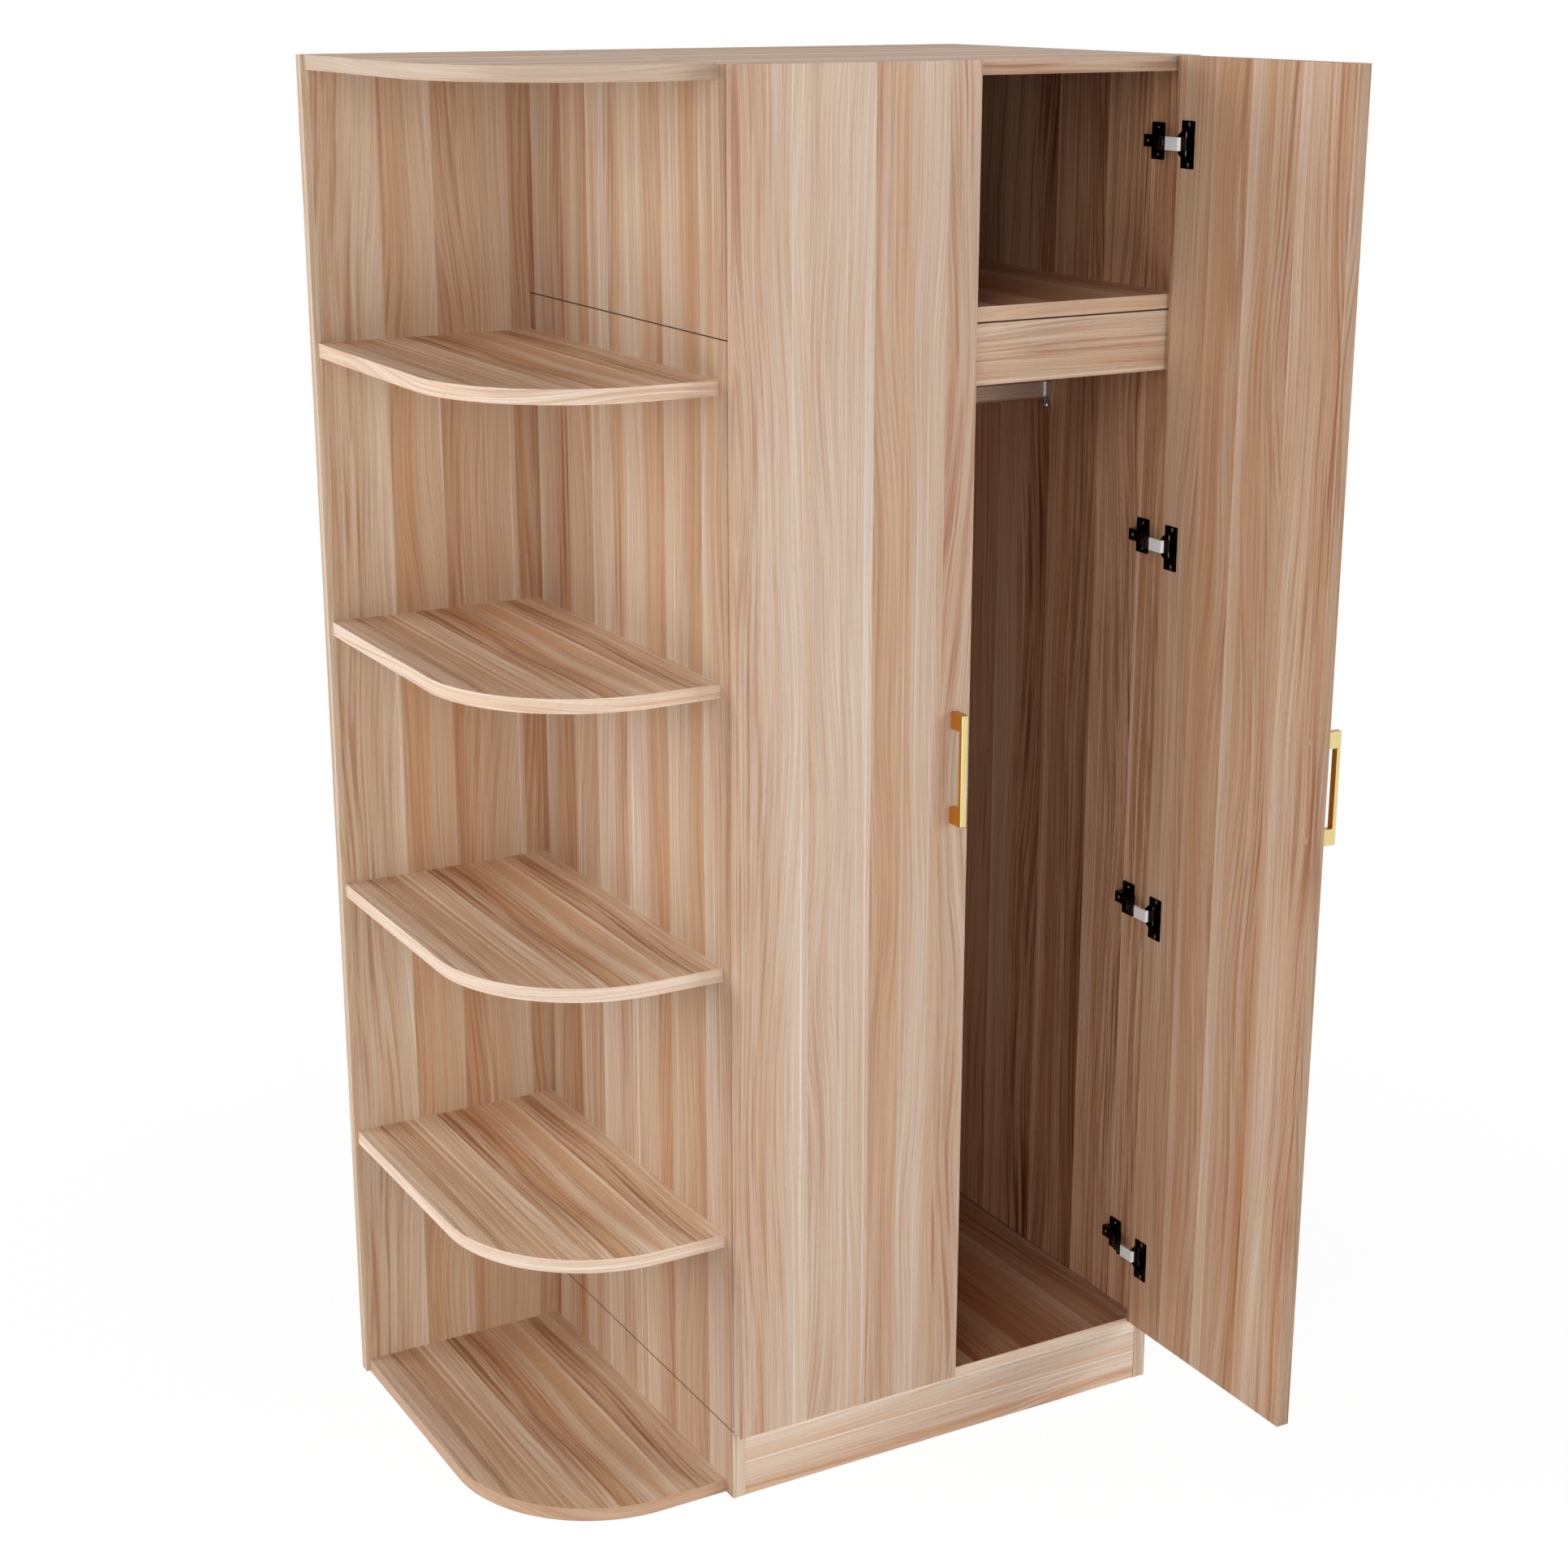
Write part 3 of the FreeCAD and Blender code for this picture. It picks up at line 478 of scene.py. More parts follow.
@dataclass(frozen=True)
class Finish:
    """A finish whose tone and gloss vary a little along its grain, brushed, cast, moulded or grown.

    A second tone with its own metallic share may lie on part of it: a painted reflection of warm wood on the
    faces of a handle that look aside at rest, or painted shade on the rolled ends of a hinge link.
    """

    name: str
    slot: str
    colour: str
    shade: str
    roughness: float
    spread: float
    grain_mm: Point
    tint: Span = Span(NOISE_LOW, NOISE_HIGH, 0.0, 1.0)
    grain_detail: float = 2.0
    grain_roughness: float = 0.5
    bump_mm: float = 0.01
    bump_strength: float = 0.2
    metallic: float = 1.0
    second: str = ""
    second_metallic: float = 1.0

    def flanks(self, tree: bpy.types.NodeTree) -> Socket:
        """Mark the faces of a handle that look neither to the wardrobe's front nor to its back at rest.

        The right door rests open, so on its handle the unmarked faces are the sides of the bow. The marked
        faces take a painted reflection of warm wood.

        Args:
            tree: The material's tree.

        Returns:
            A socket that is 1 on those faces.
        """
        facing = put(tree, "ShaderNodeSeparateXYZ",
                     {0: put(tree, "ShaderNodeTexCoord").outputs["Normal"]}).outputs[1]
        size = put(tree, "ShaderNodeMath", {0: facing}, operation="ABSOLUTE").outputs[0]
        return put(tree, "ShaderNodeMath", {0: size, 1: FACING}, operation="LESS_THAN").outputs[0]

    def ends(self, tree: bpy.types.NodeTree, axes: Sequence[Point]) -> Socket:
        """Mark the rolled ends of a strip, which get painted shade as if in the dark of their pins.

        Args:
            tree: The material's tree.
            axes: A point on each upright pin, with the reach of the dark round it as its third value.

        Returns:
            A socket that is 1 at the ends.
        """
        at = put(tree, "ShaderNodeSeparateXYZ",
                 {0: put(tree, "ShaderNodeTexCoord").outputs["Object"]}).outputs
        dark: Optional[Socket] = None
        for x, y, reach in axes:
            off = [put(tree, "ShaderNodeMath", {0: at[number], 1: middle}, operation="SUBTRACT").outputs[0]
                   for number, middle in enumerate((x, y))]
            flat = put(tree, "ShaderNodeCombineXYZ", {0: off[0], 1: off[1]}).outputs[0]
            away = put(tree, "ShaderNodeVectorMath", {0: flat}, operation="LENGTH").outputs["Value"]
            near = put(tree, "ShaderNodeMath", {0: away, 1: reach}, operation="LESS_THAN").outputs[0]
            dark = near if dark is None else put(tree, "ShaderNodeMath", {0: dark, 1: near},
                                                 operation="MAXIMUM").outputs[0]
        return dark

    def material(self, prefix: str = "", axes: Sequence[Point] = ()) -> bpy.types.Material:
        """Make the finish, brushed or mottled at its own grain size.

        Args:
            prefix: Put before the name of a variant.
            axes: The pins round which a link's ends are dark, if any.

        Returns:
            The material.
        """
        name = prefix + self.name
        made = bpy.data.materials.get(name)
        if made:
            return made
        made = blank(name)
        tree = made.node_tree
        spot = put(tree, "ShaderNodeMapping", {
            "Vector": put(tree, "ShaderNodeTexCoord").outputs["Object"],
            "Scale": tuple(1 / (size * MM) for size in self.grain_mm),
        }).outputs[0]
        grain = put(tree, "ShaderNodeTexNoise", {
            "Vector": spot, "Scale": 1.0, "Detail": self.grain_detail, "Roughness": self.grain_roughness,
        }).outputs[0]
        tint = put(tree, "ShaderNodeMapRange", self.tint.of(grain)).outputs[0]
        colour = put(tree, "ShaderNodeMix", {0: tint, 6: linear(self.colour), 7: linear(self.shade)},
                     data_type="RGBA").outputs[2]
        gloss = Span(NOISE_LOW, NOISE_HIGH, self.roughness - self.spread, self.roughness + self.spread)
        rough = put(tree, "ShaderNodeMapRange", gloss.of(grain)).outputs[0]
        bump = put(tree, "ShaderNodeBump", {
            "Height": grain, "Strength": self.bump_strength, "Distance": self.bump_mm * MM,
        }).outputs[0]
        skin = put(tree, "ShaderNodeBsdfPrincipled", {
            "Base Color": colour, "Metallic": self.metallic, "Roughness": rough, "Normal": bump,
        })
        if self.second:
            part = self.ends(tree, axes) if axes else self.flanks(tree)
            mixed = put(tree, "ShaderNodeMix", {0: part, 6: colour, 7: linear(self.second)},
                        data_type="RGBA").outputs[2]
            share = put(tree, "ShaderNodeMapRange",
                        {0: part, 3: self.metallic, 4: self.second_metallic}).outputs[0]
            tree.links.new(mixed, skin.inputs["Base Color"])
            tree.links.new(share, skin.inputs["Metallic"])
        put(tree, "ShaderNodeOutputMaterial", {"Surface": skin.outputs[0]})
        return made


@dataclass(frozen=True)
class Metal(Finish):
    """A plated, cast or anodised metal."""


@dataclass(frozen=True)
class Mottled(Finish):
    """A matt plastic or bare wood with soft streaks of its second tone."""

    tint: Span = Span(0.0, 1.0, 0.0, 1.0)
    grain_detail: float = 3.0
    grain_roughness: float = 0.6
    bump_mm: float = 0.02
    metallic: float = 0.0


# Melamine-faced board printed as elm: tan and rose-brown stripes of uneven width under an even satin sheen,
# with hair lines and pores coarser than real ones so they show
LAMINATE = ElmLaminate()
# Brass-plated bow handle, polished: pale gold on the faces that look to the front at rest, and deep orange on
# the others as a painted reflection of warm wood, which stays on those faces however the door turns
GOLD = Metal("polished_brass_plate", slot="handle_metal", colour="E6D59B", shade="DFCC8C", roughness=0.15,
             spread=0.03, grain_mm=(1.2, 1.2, 40.0), second="CC8226", second_metallic=0.45)
# Black-nickel steel stampings: nearly black with hard white glints on the edges
BLACK_NICKEL = Metal("black_nickel_steel", slot="hinge_metal", colour="241B17", shade="30241E",
                     roughness=0.22, spread=0.05, grain_mm=(2.0, 2.0, 2.0))
# Satin nickel on a shot-blasted zinc link, which scatters most of its light: a white flash by the dark plates
# Painted shade: the link's rolled ends round the pins take the black-nickel tone
BRIGHT_NICKEL = Metal("satin_nickel_zinc", slot="link_metal", colour="FDFDFB", shade="F6F6F4", roughness=0.40,
                      spread=0.05, grain_mm=(3.0, 3.0, 3.0), metallic=0.08, second=BLACK_NICKEL.colour)
# Blackened screws and pins of the hinges: dark heads with one small glint each
BLACK_SCREW = Metal("blackened_screw_steel", slot="screw_steel", colour="4A423D", shade="3B342F",
                    roughness=0.24, spread=0.05, grain_mm=(1.5, 1.5, 1.5))
# Zinc-plated steel screws, bolts and rail sockets: cool silver
ZINC = Metal("zinc_plated_steel", slot="screw_steel", colour="D2D5D8", shade="BFC3C7", roughness=0.28,
             spread=0.06, grain_mm=(1.5, 1.5, 1.5))
# Anodised aluminium tube, drawn lengthwise: soft grey with long lines, coarser than real ones so they show
ALUMINIUM = Metal("anodised_aluminium", slot="rail_aluminium", colour="EAE2DB", shade="D6CDC5",
                  roughness=0.32, spread=0.06, grain_mm=(60.0, 0.8, 0.8))
# Die-cast zinc cams: dull grey with a slight orange peel
CAST_ZINC = Metal("die_cast_zinc", slot="cam_metal", colour="9DA0A3", shade="878A8E", roughness=0.45,
                  spread=0.08, grain_mm=(1.0, 1.0, 1.0))
# Beech dowels: pale with short flecks
BEECH = Mottled("beech_dowel", slot="dowel_wood", colour="D9B98F", shade="C7A277", roughness=0.6,
                spread=0.05, grain_mm=(14.0, 1.0, 1.0))
# Moulded caps tinted like the board: matt and nearly even
CAP_PLASTIC = Mottled("moulded_cap_plastic", slot="cap_plastic", colour="C4A888", shade="B99C7C",
                      roughness=0.55, spread=0.05, grain_mm=(2.0, 2.0, 2.0))


@dataclass(frozen=True)
class ScrewForm:
    """Sizes in mm of a headed fastener, from the level of its seat."""

    foot_radius: float
    crown_radius: float
    head_height: float
    foot_level: float
    shank_radius: float
    recess_length: float
    recess_width: float
    recess_depth: float

    def proud(self) -> float:
        """Return how far the head stands above its seat, in mm."""
        return self.head_height + self.foot_level

    @staticmethod
    def label(name: str) -> str:
        """Return the name that a size has as an input of the geometry tree."""
        return name.replace("_", " ").title()


PAN_HEAD = ScrewForm(foot_radius=3.4, crown_radius=2.3, head_height=1.6, foot_level=0.0, shank_radius=1.7,
                     recess_length=3.6, recess_width=0.8, recess_depth=1.0)
COUNTERSUNK = ScrewForm(foot_radius=1.75, crown_radius=3.3, head_height=1.6, foot_level=-1.6,
                        shank_radius=1.7, recess_length=4.2, recess_width=0.9, recess_depth=1.0)
CAM_FACE = ScrewForm(foot_radius=7.4, crown_radius=7.4, head_height=12.4, foot_level=-12.4, shank_radius=2.0,
                     recess_length=8.0, recess_width=1.3, recess_depth=2.4)

# A fastener's seat: its point, the way out of the work and the shank's length, in metres
Seat = Tuple[Vector, Vector, float]
Key = Tuple[int, ...]


@dataclass
class Fasteners:
    """Screws and cams, spread over the seats of the CAD ones by one geometry tree."""

    tree_name: str = "fasteners_on_seats"
    head_sides: int = 24
    shank_sides: int = 12
    cam_shank: float = 6.0 * MM
    # Corners are told apart to this many steps a metre, and this share of a solid counts as its end
    corner_scale: float = 1e5
    end_share: float = 0.3

    def tree(self) -> bpy.types.NodeTree:
        """Build the tree once: a cross-recessed head and a shank on every seat.

        Returns:
            The geometry node tree.
        """
        made = bpy.data.node_groups.get(self.tree_name)
        if made:
            return made
        tree = bpy.data.node_groups.new(self.tree_name, "GeometryNodeTree")
        tree.interface.new_socket("Geometry", in_out="INPUT", socket_type="NodeSocketGeometry")
        for size in fields(ScrewForm):
            tree.interface.new_socket(ScrewForm.label(size.name), in_out="INPUT",
                                      socket_type="NodeSocketFloat")
        tree.interface.new_socket("Finish", in_out="INPUT", socket_type="NodeSocketMaterial")
        tree.interface.new_socket("Geometry", in_out="OUTPUT", socket_type="NodeSocketGeometry")
        given = put(tree, "NodeGroupInput").outputs

        cone = put(tree, "GeometryNodeMeshCone", {
            "Vertices": self.head_sides, "Radius Top": given["Crown Radius"],
            "Radius Bottom": given["Foot Radius"], "Depth": given["Head Height"],
        }).outputs["Mesh"]
        lift = put(tree, "ShaderNodeCombineXYZ", {2: given["Foot Level"]}).outputs[0]
        head = put(tree, "GeometryNodeTransform", {"Geometry": cone, "Translation": lift}).outputs[0]
        crown = put(tree, "ShaderNodeMath", {0: given["Foot Level"], 1: given["Head Height"]},
                    operation="ADD").outputs[0]
        depth = put(tree, "ShaderNodeMath", {0: given["Recess Depth"], 1: 2.0},
                    operation="MULTIPLY").outputs[0]
        top = put(tree, "ShaderNodeCombineXYZ", {2: crown}).outputs[0]
        recess = put(tree, "GeometryNodeMeshBoolean", {"Mesh 1": head},
                     operation="DIFFERENCE", solver="EXACT")
        for first, second in (("Recess Length", "Recess Width"), ("Recess Width", "Recess Length")):
            size = put(tree, "ShaderNodeCombineXYZ", {0: given[first], 1: given[second], 2: depth}).outputs[0]
            slot = put(tree, "GeometryNodeMeshCube", {"Size": size}).outputs["Mesh"]
            raised = put(tree, "GeometryNodeTransform", {"Geometry": slot, "Translation": top}).outputs[0]
            tree.links.new(raised, recess.inputs["Mesh 2"])
        recessed = recess.outputs["Mesh"]
        rod = put(tree, "GeometryNodeMeshCylinder", {
            "Vertices": self.shank_sides, "Radius": given["Shank Radius"], "Depth": 1.0,
        }).outputs["Mesh"]
        shank = put(tree, "GeometryNodeTransform",
                    {"Geometry": rod, "Translation": (0.0, 0.0, -0.5)}).outputs[0]

        way = put(tree, "GeometryNodeInputNamedAttribute", {"Name": "way"},
                  data_type="FLOAT_VECTOR").outputs[0]
        reach = put(tree, "GeometryNodeInputNamedAttribute", {"Name": "reach"}, data_type="FLOAT").outputs[0]
        turn = put(tree, "FunctionNodeAlignRotationToVector", {"Vector": way}, axis="Z").outputs[0]
        stretch = put(tree, "ShaderNodeCombineXYZ", {0: 1.0, 1: 1.0, 2: reach}).outputs[0]
        heads = put(tree, "GeometryNodeInstanceOnPoints",
                    {"Points": given["Geometry"], "Instance": recessed, "Rotation": turn}).outputs[0]
        shanks = put(tree, "GeometryNodeInstanceOnPoints", {
            "Points": given["Geometry"], "Instance": shank, "Rotation": turn, "Scale": stretch,
        }).outputs[0]
        both = put(tree, "GeometryNodeJoinGeometry")
        tree.links.new(heads, both.inputs[0])
        tree.links.new(shanks, both.inputs[0])
        real = put(tree, "GeometryNodeRealizeInstances", {0: both.outputs[0]}).outputs[0]
        dressed = put(tree, "GeometryNodeSetMaterial",
                      {"Geometry": real, "Material": given["Finish"]}).outputs[0]
        put(tree, "NodeGroupOutput", {"Geometry": dressed})
        return tree

    def islands(self, node: str) -> List[List[Vector]]:
        """Split a CAD node into its separate solids.

        Args:
            node: The node's name.

        Returns:
            The corner points of each solid.
        """
        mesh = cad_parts[node].data
        keys = [tuple(round(value * self.corner_scale) for value in corner.co) for corner in mesh.vertices]
        parent: Dict[Key, Key] = {key: key for key in keys}

        def root(key: Key) -> Key:
            """Follow the chain to a solid's first corner.

            Args:
                key: Any corner of the solid.

            Returns:
                Its first corner.
            """
            while parent[key] != key:
                key = parent[key]
            return key

        for face in mesh.polygons:
            first = root(keys[face.vertices[0]])
            for other in face.vertices[1:]:
                parent[root(keys[other])] = first
        groups: Dict[Key, List[Vector]] = {}
        for key in sorted(set(keys)):
            groups.setdefault(root(key), []).append(Vector(key) * (1 / self.corner_scale))
        return list(groups.values())

    def seat(self, corners: Sequence[Vector], head_mm: float) -> Seat:
        """Find a fastener's seat from its CAD solid.

        Args:
            corners: The solid's corner points.
            head_mm: How far its head stands above the seat.

        Returns:
            The seat.
        """
        low = Vector([min(corner[axis] for corner in corners) for axis in range(3)])
        high = Vector([max(corner[axis] for corner in corners) for axis in range(3)])
        size = high - low
        axis = max(range(3), key=lambda number: size[number])
        middle = (low + high) / 2

        def girth(end: float) -> float:
            """Return the square of the widest reach of the corners near one end."""
            near = [corner for corner in corners if abs(corner[axis] - end) < size[axis] * self.end_share]
            return max((corner - middle).length_squared - (corner - middle)[axis] ** 2 for corner in near)

        outward = 1.0 if girth(high[axis]) > girth(low[axis]) else -1.0
        way = Vector((0.0, 0.0, 0.0))
        way[axis] = outward
        point = middle.copy()
        point[axis] = (high[axis] if outward > 0 else low[axis]) - outward * head_mm * MM
        return point, way, size[axis] - head_mm * MM

    def spread(self, name: str, seats: Sequence[Seat], form: ScrewForm, finish: Metal) -> bpy.types.Object:
        """Set one fastener on every seat and turn the result into a plain mesh.

        Args:
            name: The piece's name.
            seats: Where the fasteners sit.
            form: Their sizes.
            finish: Their metal.

        Returns:
            The piece.
        """
        points = bpy.data.meshes.new(name)
        points.from_pydata([seat[0] for seat in seats], [], [])
        for key, kind in (("way", "FLOAT_VECTOR"), ("reach", "FLOAT")):
            points.attributes.new(key, kind, "POINT")
        for number, (_, way, reach) in enumerate(seats):
            points.attributes["way"].data[number].vector = way
            points.attributes["reach"].data[number].value = reach
        piece = new_piece(name, points)
        modifier = piece.modifiers.new("fasteners", "NODES")
        tree = self.tree()
        modifier.node_group = tree
        values: Dict[str, Any] = {ScrewForm.label(key): size * MM for key, size in asdict(form).items()}
        values["Finish"] = finish.material()
        for item in tree.interface.items_tree:
            if item.in_out == "INPUT" and item.name in values:
                modifier[item.identifier] = values[item.name]
        shown = piece.evaluated_get(bpy.context.evaluated_depsgraph_get())
        mesh = bpy.data.meshes.new_from_object(shown)
        piece.modifiers.clear()
        piece.data = mesh
        for stale in ("way", "reach"):
            if stale in mesh.attributes:
                mesh.attributes.remove(mesh.attributes[stale])
        return piece

    def screws(self, name: str, body: str, nodes: Sequence[str], form: ScrewForm, finish: Metal) -> None:
        """Stand detailed screws in the places of some CAD ones.

        Args:
            name: The piece's name.
            body: The body that carries them.
            nodes: The CAD nodes of the plain ones.
            form: Their sizes.
            finish: Their metal.
        """
        seats = [self.seat(solid, form.proud()) for node in nodes for solid in self.islands(node)]
        settle(self.spread(name, seats, form, finish), body, nodes)

    def cams(self) -> None:
        """Stand round cam faces with a cross slot in the places of the CAD discs."""
        seats = []
        for solid in self.islands("cam_discs"):
            low = min(corner.z for corner in solid)
            middle = sum(solid, Vector((0.0, 0.0, 0.0))) / len(solid)
            seats.append((Vector((middle.x, middle.y, low)), Vector((0.0, 0.0, -1.0)), self.cam_shank))
        settle(self.spread("cam_faces", seats, CAM_FACE, CAST_ZINC), "carcass", ["cam_discs"])

    def build(self) -> None:
        """Make every fastener, one piece for each body and kind."""
        self.screws("hinge_screws", "carcass",
                    ["left_plate_screws", "right_plate_screws", "left_arm_screws", "right_arm_screws"],
                    PAN_HEAD, BLACK_SCREW)
        self.screws("socket_screws", "carcass", ["rail_socket_screws"], PAN_HEAD, ZINC)
        self.screws("back_screws", "carcass", ["end_back_screws"], COUNTERSUNK, ZINC)
        for side in Side:
            self.screws(side.value + "_flange_screws", side.value + "_door",
                        [side.value + "_cup_screws"], PAN_HEAD, BLACK_SCREW)
            dress(side.value + "_handle_screws", ZINC.material())
        self.cams()
        dress("cam_bolts", ZINC.material())
        dress("dowels", BEECH.material())


@dataclass
class Cabinet:
    """The stacked boxes: sides, level boards, rails, plinth and thin backs."""

    upper_seam: float = 1.496
    lower_seam: float = 0.097
    left_seed: float = 1.0
    right_seed: float = 1.4
    back_seed: float = 1.8
    level_seed: float = 4.0
    top_seed: float = 4.6

    def sides(self) -> List[Board]:
        """List the uprights, whose print runs through the stacked boxes.

        Returns:
            The left side and the right one, whose inner face gets a darker, steeper print as painted shade.
        """
        boards = []
        # Tones and depths are painted light and shade: the right side's inner face is darkened and steepened
        for side, seed, face, depth, inner in (
            (Side.LEFT, self.left_seed, "BDA38A", 1.4, 0),
            (Side.RIGHT, self.right_seed, "DEAF8B", 3.0, -1),
        ):
            nodes = tuple("%s_%s_side" % (box, side.value) for box in ("plinth", "lower", "upper"))
            boards.append(Board(side.value + "_side", nodes, Grain.UPRIGHT, seed, face=face, edge="D8C8B4",
                                depth=depth, inner=inner, seams=(self.upper_seam, self.lower_seam)))
        return boards

    def level_boards(self) -> List[Board]:
        """List the level boards, the rails and the plinth.

        Returns:
            One board for each, and one for each pair of rails and plinth boards.
        """
        seed = self.level_seed
        # Tones and depths are painted light and shade: the floor board darker with a pale front edge, the top
        # board paler on its upper face and dark beneath (other), the shelf, rails and plinth set to their
        # light
        return [
            Board("hat_shelf", ("hat_shelf",), Grain.DEEP, seed, face="D2A283", edge="DABCA0", depth=1.6),
            Board("floor_board", ("floor_board",), Grain.DEEP, seed, face="B58769", edge="EFD8C0", depth=1.6),
            Board("top_board", ("top_board",), Grain.ACROSS, self.top_seed, face="EDC5A1", edge=PLAIN_TONE,
                  depth=1.8, inner=1, other="8A6A54"),
            Board("rails", ("front_rail", "rear_rail"), Grain.ACROSS, seed, face="D6B79B", edge=PLAIN_TONE,
                  depth=1.15),
            Board("plinth", ("plinth_front", "plinth_back"), Grain.ACROSS, seed, face="DDC7B2",
                  edge=PLAIN_TONE, depth=1.1),
        ]

    def backs(self) -> List[Board]:
        """List the thin backs.

        Returns:
            The lower and the upper one, both with painted shade on their inner face, the upper one darker.
        """
        return [
            Board(name, (name,), Grain.UPRIGHT, self.back_seed, face=face, edge=PLAIN_TONE,
                  depth=2.9, inner=-1)
            for name, face in (("lower_back_panel", "AA8065"), ("upper_back_panel", "7C5A45"))
        ]

    def build(self) -> None:
        """Dress every board of the cabinet."""
        for board in self.sides() + self.level_boards() + self.backs():
            board.build()


@dataclass
class EndUnit:
    """The open end: a back board and six boards with one round corner each."""

    # Each shelf's tone, a little lighter or darker as painted light so that the shelves look evenly lit
    shelf_tones: Tuple[str, ...] = ("E5C7A9", "E1C3A6", "E3C5A9", "E6C7AA")
    back_seed: float = 2.0
    shelf_seed: float = 3.0
    top_seed: float = 3.5

    def build(self) -> None:
        """Dress the shelves, whose banded edges are paler, partly as a paler band and partly as painted
        light, and then the other boards.
        """
        seed = self.shelf_seed
        for number, tone in enumerate(self.shelf_tones, 1):
            name = "end_shelf_%d" % number
            Board(name, (name,), Grain.DEEP, seed, face=tone, edge="E6D2BE", depth=2.1).build()
        # Painted light and shade here too: the top's upper face paler, the bottom's front edge darker, print
        # steepened
        for board in (
            Board("end_back", ("end_back_board",), Grain.UPRIGHT, self.back_seed, face="CEB397",
                  edge="CDB49C", depth=1.15),
            Board("end_bottom", ("end_bottom_board",), Grain.DEEP, seed, face="CFB093", edge="C19B7E",
                  depth=2.1),
            Board("end_top", ("end_top_board",), Grain.ACROSS, self.top_seed, face="EDC5A1", edge="C6AF99",
                  depth=1.8, inner=1),
        ):
            board.build()


@dataclass
class Door:
    """One door with its hinges, handle and caps."""

    side: Side
    seed: float
    face: str
    edge: str
    depth: float = 1.0
    # How far the painted shade on a hinge link reaches round each of its pins
    arm_eye: float = 6.0 * MM
    cup_eye: float = 8.0 * MM

    def build(self) -> None:
        """Dress the door, its hinge pieces and its handle."""
        name = self.side.value
        Board(name + "_door", (name + "_door_panel",), Grain.UPRIGHT, self.seed, self.face, self.edge,
              self.depth).build()
        for part in ("hinge_cups", "hinge_plates", "hinge_arms"):
            dress("%s_%s" % (name, part), BLACK_NICKEL.material())
        axes = []
        for part, reach in (("arm_pins", self.arm_eye), ("cup_pins", self.cup_eye)):
            low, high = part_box("%s_%s" % (name, part))
            axes.append(((low.x + high.x) / 2, (low.y + high.y) / 2, reach))
            dress("%s_%s" % (name, part), BLACK_SCREW.material())
        dress(name + "_hinge_links", BRIGHT_NICKEL.material(name + "_", axes))
        dress(name + "_handle", GOLD.material())
        dress(name + "_screw_caps", CAP_PLASTIC.material())


@dataclass
class HangingRail:
    """The oval tube with grooved flanks and its two sockets."""

    corner_steps: int = 14
    groove_count: int = 3
    groove_pitch: float = 4.2 * MM
    groove_width: float = 1.4 * MM
    groove_depth: float = 0.5 * MM
    # A groove's corners from the top down, as shares of its width and of its depth
    groove_form: Tuple[Tuple[float, float], ...] = ((0.5, 0.0), (0.3, 1.0), (-0.3, 1.0), (-0.5, 0.0))

    def flank(self, reach: float, way: float) -> List[Tuple[float, float]]:
        """Lay out one straight flank with its grooves, from the top down or back up.

        Args:
            reach: Half the tube's width.
            way: 1 for the far flank, read downwards, -1 for the near one, read upwards.

        Returns:
            Points across and up, about the tube's middle.
        """
        points = []
        half = (self.groove_count - 1) / 2
        for number in range(self.groove_count):
            level = way * (half - number) * self.groove_pitch
            for step, depth in self.groove_form:
                points.append((way * (reach - depth * self.groove_depth),
                               level + way * step * self.groove_width))
        return points

    def outline(self, width: float, height: float) -> List[Tuple[float, float]]:
        """Lay out the tube's closed outline.

        Args:
            width: Across, in metres.
            height: Up, in metres.

        Returns:
            Points across and up, about the tube's middle.
        """
        radius = width / 2
        rise = height / 2 - radius
        points: List[Tuple[float, float]] = []
        for way in (1.0, -1.0):
            for step in range(self.corner_steps + 1):
                angle = math.pi * step / self.corner_steps
                points.append((-way * radius * math.cos(angle), way * (rise + radius * math.sin(angle))))
            points += self.flank(radius, way)
        return points

    def build(self) -> None:
        """Make the smooth grooved tube and dress the sockets."""
        low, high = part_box("hanging_rail")
        middle = (low + high) / 2
        outline = self.outline(high.y - low.y, high.z - low.z)
        bm = bmesh.new()
        rings = []
        for x in (low.x, high.x):
            rings.append([bm.verts.new((x, middle.y + across, middle.z + up)) for across, up in outline])
        count = len(outline)
        for at in range(count):
            after = (at + 1) % count
            bm.faces.new((rings[0][at], rings[0][after], rings[1][after], rings[1][at]))
        for ring in rings:
            bm.faces.new(ring)
        bmesh.ops.recalc_face_normals(bm, faces=bm.faces)
        mesh = bpy.data.meshes.new("hanging_rail_tube")
        bm.to_mesh(mesh)
        bm.free()
        mesh.materials.append(ALUMINIUM.material())
        settle(new_piece("hanging_rail_tube", mesh), "carcass", ["hanging_rail"])
        for name in ("rail_socket_left", "rail_socket_right"):
            dress(name, ZINC.material())


@dataclass(frozen=True)
class Lamp:
    """A soft square box of light that looks at the middle of the object."""

    name: str
    place: Point
    watts: float
    size: float = 2.6

    def hang(self, target: Point) -> None:
        """Hang the lamp and turn it to its target.

        Args:
            target: The point it looks at.
        """
        light = bpy.data.lights.new(self.name, "AREA")
        light.shape = "SQUARE"
        light.size = self.size
        light.energy = self.watts
        lamp = bpy.data.objects.new(self.name, light)
        lamp.location = self.place
        lamp.rotation_euler = (Vector(target) - Vector(self.place)).to_track_quat("-Z", "Y").to_euler()
        lamp.visible_camera = False
        bpy.context.scene.collection.objects.link(lamp)


